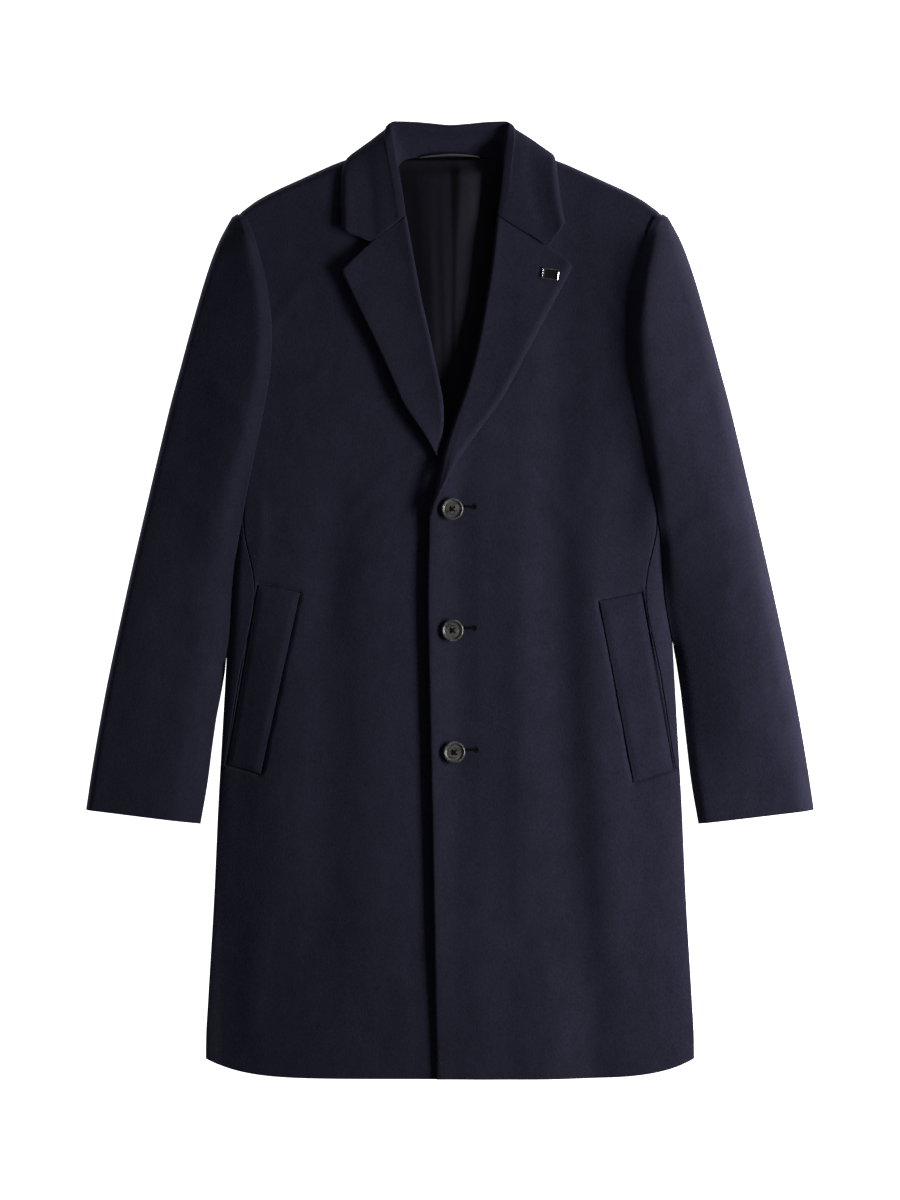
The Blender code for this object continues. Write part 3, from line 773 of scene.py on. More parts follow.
    @staticmethod
    def evaluated(item: Item) -> bpy.types.Mesh:
        """A new mesh of an object with its modifiers applied."""
        graph = bpy.context.evaluated_depsgraph_get()
        return bpy.data.meshes.new_from_object(item.evaluated_get(graph))

    @classmethod
    def cloth(cls, node: str, outer: np.ndarray, wall: np.ndarray, normal: np.ndarray, cut: Cut) -> None:
        """Args:
            node: the node that it stands for.
            outer: grid of points on the shown face.
            wall: its thickness at each point, or one for all.
            normal: unit normals of the shown face.
            cut: its finish, its cut and how it lies.
        """
        item = cls.shell(node + "_cloth", outer, wall, cut.material, normal)
        cls.declare(item, cut.slot, node)
        list(cut.rests_on)


@dataclass
class WeltPlan:
    """Plan of a slanted pocket welt, from its four corners."""

    low: WeltRow
    high: WeltRow

    def inside(self, x: np.ndarray, y: np.ndarray) -> np.ndarray:
        """Distance in from the nearest edge, negative outside."""
        corners = (self.low[:2], self.low[2:], self.high[2:], self.high[:2])
        turn = np.sign(self.low.outer_x - self.low.inner_x)
        nearest = np.full(np.broadcast(x, y).shape, np.inf)
        for (from_x, from_y), (to_x, to_y) in zip(corners, corners[1:] + corners[:1]):
            run_x, run_y = to_x - from_x, to_y - from_y
            away = (run_x * (y - from_y) - run_y * (x - from_x)) / math.hypot(run_x, run_y) * turn
            nearest = np.minimum(nearest, away)
        return nearest

    def grid(self, up: np.ndarray, across: np.ndarray) -> tuple:
        """Plan points over the welt, for shares up it and across it."""
        low, high = (np.array(row)[:, None, None] for row in (self.low, self.high))
        inner_x, inner_y, outer_x, outer_y = low + (high - low) * up[:, None]
        return inner_x + (outer_x - inner_x) * across, inner_y + (outer_y - inner_y) * across


@dataclass
class CoatForm:
    """The surface that the coat's body makes as it lies, and what is sewn on it."""

    side_round: dict = sides(24.0, 14.0)
    armhole: tuple = (10.0, 80.0)
    armhole_sharper: float = 0.6
    shoulder_round: float = 8.0
    shoulder_slope: float = 0.9
    hem_curve: float = 20.0
    hem_half: float = 256.5
    hem_power: int = 7
    collar_top: tuple = (412.0, 432.0)
    collar_side: tuple = (121.0, 136.0)
    side_fall: dict = sides(7.0, 7.6)
    side_start: dict = sides(165.0, 142.0)
    side_width: float = 90.0
    side_most: float = 1.1
    side_end: tuple = (-90.0, 60.0)
    lap_reach: tuple = (27.0, 66.0)
    lap_lift: float = 5.6
    lap_low: float = 0.3
    lap_rise: tuple = (-480.0, -300.0)
    lap_swell: float = 0.4
    lap_swell_y: float = 120.0
    lap_swell_reach: float = 26.0
    lap_stand: tuple = (-4.0, 32.0)
    lap_end: tuple = (150.0, 260.0)
    tuck: float = 0.8
    tuck_x: float = -28.0
    tuck_width: float = 22.0
    tuck_end: tuple = (100.0, 170.0)
    crease_inset: tuple = (2.0, 26.0)
    welt_sink: float = 2.9
    welt_ditch: float = 2.2
    welt_gap: float = 0.4
    button_dip: float = 0.9
    button_pull: float = 10.0
    body: tuple = (
        BodyRow(-501.0, 256.5, 256.5, 13.5),
        BodyRow(-462.0, 256.2, 256.2, 14.0),
        BodyRow(-420.0, 254.0, 254.0, 14.5),
        BodyRow(-315.0, 247.8, 247.8, 15.5),
        BodyRow(-210.0, 243.0, 243.0, 16.5),
        BodyRow(-147.0, 239.4, 239.4, 17.0),
        BodyRow(-42.0, 233.5, 233.5, 18.0),
        BodyRow(46.0, 228.6, 228.6, 19.0),
        BodyRow(112.0, 225.0, 225.0, 20.0),
        BodyRow(190.0, 221.0, 220.0, 21.5),
        BodyRow(250.0, 226.0, 206.0, 22.5),
        BodyRow(300.0, 236.0, 200.0, 23.0),
        BodyRow(350.0, 250.0, 202.0, 23.5),
        BodyRow(385.0, 265.0, 212.0, 23.5),
        BodyRow(405.0, 280.0, 222.0, 23.5),
        BodyRow(500.0, 300.0, 222.0, 23.5),
    )
    top_line: tuple = (
        TopRow(0.0, 480.0, 462.0),
        TopRow(45.0, 480.0, 462.5),
        TopRow(62.0, 477.0, 466.0),
        TopRow(76.0, 472.0, 471.6),
        TopRow(114.5, 459.5, 457.5),
        TopRow(157.5, 441.0, 441.0),
        TopRow(200.5, 420.0, 420.0),
        TopRow(222.5, 404.0, 404.0),
    )
    folds: tuple = (
        Fold(-80.0, -440.0, -86.0, -10.0, 29.0, 1.7, 4.0),
        Fold(-84.0, -60.0, -76.0, 130.0, 23.0, 1.7, -4.0),
        Fold(-137.0, -400.0, -131.0, 0.0, 24.0, -2.3, 5.0),
        Fold(-132.0, -60.0, -118.0, 120.0, 22.0, -2.6),
        Fold(-180.0, -330.0, -174.0, 60.0, 27.0, 1.2, -5.0),
        Fold(-120.0, -560.0, -110.0, -250.0, 60.0, 3.0),
        Fold(-232.0, -480.0, -222.0, -60.0, 20.0, -1.6),
        Fold(70.0, -360.0, 66.0, 150.0, 24.0, 3.6, 4.0),
        Fold(144.0, -420.0, 106.0, 170.0, 23.0, -3.6, -6.0),
        Fold(178.0, -440.0, 146.0, 130.0, 25.0, 4.2, -6.0),
        Fold(12.0, -300.0, 12.0, 120.0, 20.0, -1.2),
        Fold(86.0, -580.0, 92.0, -370.0, 42.0, 5.4, 3.0),
        Fold(152.0, -580.0, 148.0, -390.0, 24.0, -4.0),
        Fold(211.0, 58.0, 222.0, 190.0, 22.0, 7.0),
        Fold(-150.0, 60.0, -120.0, 240.0, 40.0, 1.4),
        Fold(112.0, 110.0, 124.0, 470.0, 32.0, -5.6),
        Fold(207.0, 150.0, 204.0, 395.0, 30.0, 11.0),
        Fold(20.0, -640.0, 20.0, -280.0, 110.0, 9.0),
    )
    creases: tuple = (
        Fold(-44.0, 150.0, -122.0, 62.0, 8.0, 0.7, 7.0),
        Fold(-196.0, 262.0, -148.0, 334.0, 7.0, 0.8, -5.0),
        Fold(-188.0, 214.0, -122.0, 250.0, 9.0, 0.7, 6.0),
        Fold(-30.0, 66.0, -118.0, 24.0, 10.0, 0.6, -4.0),
        Fold(-32.0, -58.0, -104.0, -92.0, 11.0, 0.5, 5.0),
        Fold(-204.0, 24.0, -198.0, 116.0, 7.0, 0.9, 3.0),
        Fold(-206.0, -476.0, -192.0, -300.0, 13.0, 0.9, -5.0),
        Fold(-56.0, -494.0, -48.0, -384.0, 12.0, 0.7, 3.0),
        Fold(58.0, 146.0, 132.0, 66.0, 9.0, 0.7, -7.0),
        Fold(192.0, 262.0, 152.0, 326.0, 7.0, 0.8, 5.0),
        Fold(46.0, 44.0, 116.0, 2.0, 10.0, 0.6, 4.0),
        Fold(52.0, -92.0, 124.0, -124.0, 11.0, 0.5, -4.0),
        Fold(214.0, -470.0, 204.0, -322.0, 13.0, 0.9, 5.0),
        Fold(112.0, -494.0, 104.0, -356.0, 14.0, 0.7, -4.0),
    )
    welts: dict = sides(
        left=WeltPlan(WeltRow(191.9, -191.1, 233.2, -177.5), WeltRow(155.8, -1.0, 200.2, 7.5)),
        right=WeltPlan(WeltRow(-198.2, -182.2, -233.2, -172.5), WeltRow(-157.2, 7.5, -200.4, 16.0)),
    )
    lap_edge: tuple = (
        Spot(-22.0, 80.0),
        Spot(-19.8, 99.0),
        Spot(-12.6, 128.0),
        Spot(-7.4, 151.0),
        Spot(17.0, 223.7),
    )
    buttons: tuple = (Spot(2.5, 95.0), Spot(2.7, -31.7), Spot(4.6, -159.0))

    @staticmethod
    def by_side(x: np.ndarray, values: dict) -> np.ndarray:
        """One of two values, by the side of the coat that a place is on."""
        return np.where(x > 0, values[Side.LEFT], values[Side.RIGHT])

    def side(self, y: np.ndarray) -> np.ndarray:
        """Half width of the body to its side fold."""
        return by(self.body, "y", "side", y)

    def back_half(self, y: np.ndarray) -> np.ndarray:
        """Half width of the back."""
        return by(self.body, "y", "back", y)

    def shoulder(self, x: np.ndarray) -> np.ndarray:
        """The shoulder line's place along the coat."""
        return by(self.top_line, "x", "shoulder", np.abs(x))

    def neckline(self, x: np.ndarray) -> np.ndarray:
        """The top edge of the back."""
        return by(self.top_line, "x", "back", np.abs(x))

    def hem_rise(self, x: np.ndarray) -> np.ndarray:
        """How far the hem curves up towards the side folds."""
        return self.hem_curve * np.clip(np.abs(x) / self.hem_half, 0, 1) ** self.hem_power

    def under(self, x: np.ndarray, y: np.ndarray) -> np.ndarray:
        """Underside of the back, raised where the collar lies beneath it."""
        over_collar = ease(*self.collar_top, y) * (1 - ease(*self.collar_side, np.abs(x)))
        return (COLLAR_LAP + SEAM) * over_collar

    def plain(self, x: np.ndarray, y: np.ndarray) -> np.ndarray:
        """Outer surface of the fronts without small creases or the lap."""
        base = self.under(x, y) + CLOTH + SEAM
        loft = by(self.body, "y", "loft", y)
        past = (np.abs(x) - self.by_side(x, self.side_start)) / self.side_width
        fall = self.by_side(x, self.side_fall) * np.clip(past, 0.0, self.side_most) ** 2
        loft = loft - fall * (1 - ease(*self.side_end, y))
        sharper = np.where(x > 0, self.armhole_sharper * ease(*self.armhole, y), 0.0)
        side = rounded(self.side(y) - np.abs(x), self.by_side(x, self.side_round) * (1 - sharper))
        shoulder = rounded((self.shoulder(x) - y) * self.shoulder_slope, self.shoulder_round)
        return base + (loft + relief(self.folds, x, y) - base) * side * shoulder

    def lap(self, x: np.ndarray, y: np.ndarray) -> np.ndarray:
        """How far the left front lies above the right one."""
        over = (CLOTH + SEAM) * (1 - ease(*self.lap_reach, x))
        edge = by(self.lap_edge, "y", "x", y)
        swell = self.lap_swell * np.exp(-(((y - self.lap_swell_y) / self.lap_swell_reach) ** 2))
        lift = self.lap_lift * ((1 - self.lap_low) * ease(*self.lap_rise, y) + self.lap_low + swell)
        stand = lift * (1 - ease(*self.lap_stand, x - edge))
        return (over + stand) * (1 - ease(*self.lap_end, y))

    def small(self, x: np.ndarray, y: np.ndarray) -> np.ndarray:
        """Small creases and swell, faded out at the side folds and shoulders."""
        inset = np.minimum(self.side(y) - np.abs(x), self.shoulder(x) - y)
        fade = ease(*self.crease_inset, inset)
        sunk = np.zeros(np.broadcast(x, y).shape)
        for plan in self.welts.values():
            ditch = ease(-self.welt_gap - self.welt_ditch, -self.welt_gap, plan.inside(x, y))
            sunk = sunk + self.welt_sink * ditch
        return (relief(self.creases, x, y) + ripple(x, y)) * fade - sunk

    def top(self, x: np.ndarray, y: np.ndarray) -> np.ndarray:
        """Outer surface of the body, before the fronts lap."""
        return self.plain(x, y) + self.small(x, y)

    def right(self, x: np.ndarray, y: np.ndarray) -> np.ndarray:
        """Outer surface of the right front, tucked down beside the left one's edge."""
        near = np.exp(-(((x - self.tuck_x) / self.tuck_width) ** 2)) * (1 - ease(*self.tuck_end, y))
        return self.top(x, y) - self.tuck * near

    def left(self, x: np.ndarray, y: np.ndarray) -> np.ndarray:
        """Outer surface of the left front, drawn down a little under each button."""
        dip = np.zeros(np.broadcast(x, y).shape)
        for spot in self.buttons:
            reach = np.hypot(x - spot.x, y - spot.y)
            dip = dip + self.button_dip * np.exp(-((reach / self.button_pull) ** 2))
        return self.top(x, y) + self.lap(x, y) - dip

    @staticmethod
    def slopes(height: Height, x: np.ndarray, y: np.ndarray) -> np.ndarray:
        """Unit normals of a height over the plan."""
        step = SLOPE_STEP
        slope_x = (height(x + step, y) - height(x - step, y)) / (2 * step)
        slope_y = (height(x, y + step) - height(x, y - step)) / (2 * step)
        normal = np.stack([-slope_x, -slope_y, np.ones_like(slope_x)], axis=-1)
        return normal / np.linalg.norm(normal, axis=-1, keepdims=True)


@dataclass
class CoatBody:
    """Back, fronts, side panels and pocket welts."""

    form: CoatForm
    finishes: Finishes
    pitch: float = 2.7
    front_width: float = 240.0
    hem_reach: float = 110.0
    edge_wall: float = 2.2
    edge_reach: tuple = (45.0, 5.0)
    edge_end: tuple = (70.0, 120.0)
    side_width: float = 22.0
    side_pitch: float = 1.6
    back_size: tuple = (500.0, 960.0)
    back_pitch: tuple = (7.0, 7.5)
    back_shoulder: float = 222.0
    welt_size: tuple = (42.0, 188.0)
    welt_pitch: tuple = (2.0, 3.0)
    welt_rim: float = 0.9
    welt_wall: float = 1.6
    welt_puff: float = 1.3
    welt_soft: float = 7.0
    side_rows: tuple = (5, 10)
    rows: tuple = (
        FrontRow(256.4, HEM_Y, -13.5, HEM_Y, 27.0, HEM_Y, 0.0),
        FrontRow(254.8, -440.0, -15.0, -440.0, 27.0, -440.0, 0.0),
        FrontRow(247.8, -315.0, -17.0, -315.0, 27.0, -315.0, 0.0),
        FrontRow(243.0, -215.0, -19.0, -215.0, 27.0, -215.0, 0.0),
        FrontRow(241.2, -184.0, -19.6, -190.0, 27.0, -188.0, 0.0),
        FrontRow(236.8, -176.0, -19.9, -172.0, 27.0, -172.0, 0.0),
        FrontRow(221.0, -82.0, -22.0, -84.0, 27.0, -84.0, 0.0),
        FrontRow(204.3, 8.0, -23.6, 4.0, 27.0, 4.0, 0.0),
        FrontRow(215.5, 75.0, -22.5, 60.0, 27.0, 58.0, 0.0),
        FrontRow(216.5, 112.0, -21.9, 92.0, 27.0, 94.0, 0.0),
        FrontRow(214.0, 150.0, -6.5, 126.0, 15.0, 125.0, 0.0),
        FrontRow(203.0, 191.0, 4.0, 162.0, -1.0, 160.0, 0.0),
        FrontRow(197.0, 215.0, 15.5, 195.0, -13.0, 195.0, 0.0),
        FrontRow(192.0, 244.0, 25.5, 224.0, -19.5, 228.0, 0.0),
        FrontRow(190.6, 284.0, 35.0, 268.0, -28.5, 272.0, 0.0),
        FrontRow(195.0, 324.0, 44.5, 315.0, -38.0, 318.0, 0.0),
        FrontRow(206.0, 358.0, 51.5, 358.0, -45.5, 360.0, 0.0),
        FrontRow(213.0, 384.0, 57.0, 399.0, -53.0, 399.0, 0.15),
        FrontRow(216.0, 393.0, 66.0, 438.0, -64.0, 438.0, 0.45),
        FrontRow(219.5, 402.5, 76.0, 471.6, -76.0, 471.6, 1.0),
    )

    def front_plan(self, side: Side, inner: str) -> tuple:
        """Plan of a front, ruled from its side edge to its inner edge.

        Args:
            side: which front.
            inner: name of its inner edge's columns.

        Returns:
            Places across and along, as grids.
        """
        steps = spaced(gaps(self.rows, "side", "left"), self.pitch)
        u = spaced([self.front_width], self.pitch)[None, :]
        side_x = side.value * along(self.rows, "side_x", steps)[:, None]
        side_y = along(self.rows, "side_y", steps)[:, None]
        edge_x = along(self.rows, inner + "_x", steps)[:, None]
        edge_y = along(self.rows, inner + "_y", steps)[:, None]
        x = side_x + (edge_x - side_x) * u
        y = side_y + (edge_y - side_y) * u
        share = along(self.rows, "shoulder", steps)[:, None]
        y = y + share * (self.form.shoulder(x) - y)
        hem = 1 - ease(HEM_Y, HEM_Y + self.hem_reach, y)
        return x, y + self.form.hem_rise(x) * hem

    def build_fronts(self) -> None:
        """Makes the two fronts, the left one lapping over the right."""
        form = self.form
        x, y = self.front_plan(Side.LEFT, "left")
        outer = np.stack([x, y, form.left(x, y)], axis=-1)
        edge = ease(*self.edge_reach, x) * (1 - ease(*self.edge_end, y))
        normal = form.slopes(form.left, x, y)
        cut = Cut(self.finishes.wool, (0.30, 1.02), ["back", "front_right"])
        Maker.cloth("front_left", outer, CLOTH + self.edge_wall * edge, normal, cut)
        x, y = self.front_plan(Side.RIGHT, "right")
        outer = np.stack([x, y, form.right(x, y)], axis=-1)
        cut = Cut(self.finishes.wool, (0.31, 1.02), ["back"])
        Maker.cloth("front_right", outer, CLOTH, form.slopes(form.right, x, y), cut)

    def build_sides(self) -> None:
        """Makes the narrow side panels between the pocket seams and the side folds."""
        form = self.form
        first, last = self.side_rows
        steps = first + spaced(gaps(self.rows, "side", "left")[first:last], self.pitch)
        y = along(self.rows, "side_y", steps)[:, None]
        seam = along(self.rows, "side_x", steps)[:, None] + SEAM
        y[0] += SEAM
        edge = form.side(y)
        u = spaced([self.side_width], self.side_pitch)[None, :]
        for side in Side:
            x = side.value * (seam + (edge - seam) * u)
            place = y + 0 * x
            outer = np.stack([x, place, form.top(x, place)], axis=-1)
            cut = Cut(self.finishes.wool, (0.045, 0.335), ["back"])
            Maker.cloth("side_" + side.word, outer, CLOTH, form.slopes(form.top, x, place), cut)

    def build_back(self) -> None:
        """Makes the back, which the coat lies on."""
        form = self.form
        across, up = (spaced([size], pitch) for size, pitch in zip(self.back_size, self.back_pitch))
        across = across * 2 - 1
        top = form.neckline(across * self.back_shoulder)
        bottom = HEM_Y + form.hem_rise(across * form.hem_half)
        y = bottom[None, :] + up[:, None] * (top - bottom)[None, :]
        x = across[None, :] * form.back_half(y)
        lower = np.stack([x, y, form.under(x, y) + ABOVE_TABLE], axis=-1)
        cut = Cut(self.finishes.wool, (0.53, 1.0))
        Maker.cloth("back", lower, CLOTH, np.broadcast_to(DOWN, lower.shape), cut)

    def build_welts(self) -> None:
        """Makes the slanted pocket welts, almost flush with the fronts."""
        form = self.form
        sizes = zip(self.welt_size, self.welt_pitch)
        across, up = (spaced([size], pitch, self.welt_rim) for size, pitch in sizes)
        for side in Side:
            x, y = form.welts[side].grid(up, across)
            height = form.left if side is Side.LEFT else form.top
            normal = form.slopes(form.plain, x, y)
            inset = form.welts[side].inside(x, y)
            puff = 2 * SEAM + self.welt_wall + self.welt_puff * ease(0.0, self.welt_soft, inset)
            outer = np.stack([x, y, height(x, y)], axis=-1) + normal * puff[..., None]
            cut = Cut(self.finishes.wool, (0.048, 0.2), ["front_" + side.word])
            Maker.cloth("welt_" + side.word, outer, self.welt_wall, normal, cut)

    def build(self) -> None:
        """Makes every piece of the body."""
        self.build_back()
        self.build_fronts()
        self.build_sides()
        self.build_welts()


@dataclass
class Sleeves:
    """Two-piece sleeves, lying at the coat's sides and reaching over them."""

    form: CoatForm
    finishes: Finishes
    pitch: float = 4.0
    outer_round: dict = sides(17.0, 7.0)
    outer_most: float = 0.45
    head_round: float = 7.0
    across_width: float = 110.0
    across_pitch: float = 2.6
    under_gap: float = 0.25
    under_least: float = 2.0
    head_clear: float = 1.2
    head_top: tuple = (365.0, 395.0)
    crease_inset: tuple = (4.0, 26.0)
    crease_rows: tuple = (0.0, 1.5)
    ripple_shift: float = 40.0
    rim_flat: float = 8.0
    rim_slope: float = 0.9
    flank_most: float = 0.24
    flank_power: int = 5
    rows: tuple = (
        SleeveRow(228.5, 402.0, 216.5, 405.6, 3.6),
        SleeveRow(241.5, 378.0, 207.5, 388.5, 30.0),
        SleeveRow(250.0, 357.0, 198.0, 360.0, 38.0),
        SleeveRow(258.0, 333.0, 190.0, 324.0, 39.0),
        SleeveRow(275.0, 273.0, 185.6, 284.0, 37.5),
        SleeveRow(283.0, 243.0, 187.0, 244.0, 37.5),
        SleeveRow(292.0, 210.0, 192.0, 210.0, 36.5),
        SleeveRow(317.0, 105.0, 212.0, 112.0, 32.0),
        SleeveRow(341.0, 0.0, 229.8, 8.0, 27.0),
        SleeveRow(363.0, -105.0, 243.0, -105.0, 22.0),
        SleeveRow(376.0, -180.0, 253.0, -190.0, 18.5),
        SleeveRow(382.0, -220.0, 260.7, -235.0, 17.0),
    )
    arches: dict = sides(
        left=(
            ArchRow(-235.0, 0.84, 0.54, 0.36, 2.0, 1.2, 1.2, 8.0),
            ArchRow(-185.0, 0.80, 0.64, 0.40, 2.0, 1.28, 1.3, 8.0),
            ArchRow(-126.0, 0.68, 0.80, 0.44, 2.0, 1.32, 1.5, 8.0),
            ArchRow(-63.0, 0.72, 0.72, 0.42, 2.0, 1.28, 1.5, 8.0),
            ArchRow(10.0, 0.74, 0.52, 0.38, 2.0, 1.28, 1.7, 8.0),
            ArchRow(63.0, 0.68, 0.27, 0.38, 2.0, 1.22, 1.8, 8.0),
            ArchRow(126.0, 0.46, 0.08, 0.38, 2.0, 1.2, 2.0, 10.0),
            ArchRow(200.0, 0.22, 0.04, 0.40, 1.5, 1.22),
            ArchRow(330.0, 0.20, 0.02, 0.48, 1.3, 1.2),
            ArchRow(405.0, 0.30, 0.05, 0.30, 1.4, 1.0),
        ),
        right=(
            ArchRow(-235.0, 0.55, 0.12, 0.06, 2.0, 0.95, 2.0, 28.0),
            ArchRow(-150.0, 0.62, 0.16, 0.05, 2.0, 0.95, 2.0, 34.0),
            ArchRow(-63.0, 0.62, 0.16, 0.05, 2.0, 0.95, 2.0, 34.0),
            ArchRow(10.0, 0.52, 0.18, 0.12, 1.6, 0.92, 2.0, 28.0),
            ArchRow(100.0, 0.26, 0.14, 0.25, 1.3, 0.88, 2.0, 18.0),
            ArchRow(200.0, 0.16, 0.05, 0.42, 1.1, 0.84, 2.0, 15.0),
            ArchRow(330.0, 0.14, 0.03, 0.45, 1.05, 0.82, 2.0, 15.0),
            ArchRow(405.0, 0.30, 0.05, 0.36, 1.4, 0.84, 2.0, 15.0),
        ),
    )
    inner_shift: dict = sides(
        left=(
            (-95.0, 0.0),
            (-63.0, 1.5),
            (-30.0, 4.5),
            (0.0, 6.0),
            (30.0, 4.0),
            (63.0, 1.0),
            (100.0, 0.0),
        ),
        right=(
            (-160.0, -1.0),
            (-126.0, 0.0),
            (-100.0, 2.0),
            (-75.0, 3.5),
            (-40.0, 4.5),
            (0.0, 2.5),
            (40.0, 0.0),
        ),
    )
    creases: dict = sides(
        left=(
            Fold(212.0, 190.0, 262.0, 240.0, 9.0, 1.0, 5.0),
            Fold(232.0, 60.0, 296.0, 92.0, 9.0, 0.9, -6.0),
            Fold(244.0, -10.0, 304.0, 30.0, 11.0, 0.8, 6.0),
            Fold(262.0, -150.0, 322.0, -112.0, 12.0, 0.6, -5.0),
            Fold(300.0, -210.0, 268.0, 220.0, 22.0, 1.2, 8.0),
        ),
        right=(
            Fold(208.0, 176.0, 256.0, 232.0, 9.0, 1.1, -5.0),
            Fold(236.0, 84.0, 292.0, 122.0, 10.0, 0.8, 6.0),
            Fold(246.0, -30.0, 312.0, 6.0, 10.0, 0.9, -6.0),
            Fold(268.0, -120.0, 330.0, -90.0, 12.0, 0.6, 5.0),
            Fold(316.0, -205.0, 262.0, 240.0, 24.0, -1.3, -8.0),
        ),
    )

    def plan(self, side: Side, under: bool) -> tuple:
        """Sections of a sleeve.

        Args:
            side: which sleeve.
            under: True for the under piece, which stops at the back.

        Returns:
            Section numbers, plan places x and y, shares across, widths, and the inner edge.
        """
        steps = spaced(gaps(self.rows, "outer", "inner"), self.pitch)
        outer_x, outer_y = along(self.rows, "outer_x", steps), along(self.rows, "outer_y", steps)
        inner_x, inner_y = along(self.rows, "inner_x", steps), along(self.rows, "inner_y", steps)
        inner_x = inner_x - smooth(*np.transpose(self.inner_shift[side]), inner_y)
        if under:
            inner_x = np.maximum(inner_x, self.form.back_half(inner_y) + SEAM + self.under_gap)
            inner_x = np.minimum(inner_x, outer_x - self.under_least)
        u = spaced([self.across_width], self.across_pitch)[None, :]
        x = outer_x[:, None] + (inner_x - outer_x)[:, None] * u
        y = outer_y[:, None] + (inner_y - outer_y)[:, None] * u
        width = np.hypot(outer_x - inner_x, outer_y - inner_y)[:, None]
        return steps, x, y, u, width, inner_x, inner_y

    def arch(self, side: Side, y: np.ndarray, across: np.ndarray) -> tuple:
        """Share of its full height that a sleeve has at each place.

        Args:
            side: which sleeve.
            y: places along it.
            across: shares across it, from its inner edge.

        Returns:
            The share, and the width of the rise from its inner edge.
        """
        table = self.arches[side]
        value = {name: by(table, "y", name, y) for name in ArchRow._fields[1:]}
        crest = value["crest"]
        inner = np.clip((crest - across) / crest, 0, 1) ** value["lean"] * value["inner_drop"]
        outer = np.clip((across - crest) / (1 - crest), 0, 1) ** value["power"] * value["outer_drop"]
        return value["share"] * (1 - inner - outer), value["flank"]

    def top_grid(self, side: Side) -> np.ndarray:
        """Outer points of the top piece of a sleeve."""
        steps, x, y, u, width, inner_x, inner_y = self.plan(side, False)
        top = along(self.rows, "top", steps)[:, None]
        rest = CLOTH + SEAM
        clear = 3 * SEAM + self.head_clear * ease(*self.head_top, inner_y)
        rim = np.maximum(rest, self.form.top(side.value * inner_x, inner_y) + clear)[:, None]
        rim = np.where(inner_x[:, None] > self.form.side(inner_y)[:, None], rest, rim)
        inner, outer = (1 - u) * width, u * width
        arched, flank = self.arch(side, y, 1 - u)
        crest = top * arched
        middle = ease(*self.crease_inset, np.minimum(inner, outer)) * ease(*self.crease_rows, steps)[:, None]
        uneven = relief(self.creases[side], x, y) + ripple(side.value * x + self.ripple_shift, y)
        crest = crest + uneven * middle
        crest = np.maximum(crest, rim + 4 * SEAM - self.rim_slope * np.maximum(inner - self.rim_flat, 0.0))
        flank = inner / np.minimum(flank, self.flank_most * width)
        z = rim + (crest - rim) * flank / (1 + flank**self.flank_power) ** (1 / self.flank_power)
        z = rest + (z - rest) * rounded(outer, np.minimum(self.outer_round[side], self.outer_most * width))
        from_head = np.hypot(x - x[:1], y - y[:1])
        z = rest + (z - rest) * rounded(from_head, self.head_round)
        return np.stack([side.value * x, y, z], axis=-1)

    def build(self) -> None:
        """Makes both sleeves, each from a top and an under piece."""
        for side in Side:
            grid = self.top_grid(side)
            normal = grid_normals(grid)
            normal = normal * np.sign(normal[..., 2:3] + 1e-9)
            cut = Cut(self.finishes.wool, (0.17, 0.68), ["sleeve_under_" + side.word, "front_" + side.word])
            Maker.cloth("sleeve_top_" + side.word, grid, CLOTH, normal, cut)
            _, x, y, *_ = self.plan(side, True)
            lower = np.stack([side.value * x, y, np.full(x.shape, ABOVE_TABLE)], axis=-1)
            cut = Cut(self.finishes.wool, (0.135, 0.66))
            Maker.cloth("sleeve_under_" + side.word, lower, CLOTH, np.broadcast_to(DOWN, lower.shape), cut)


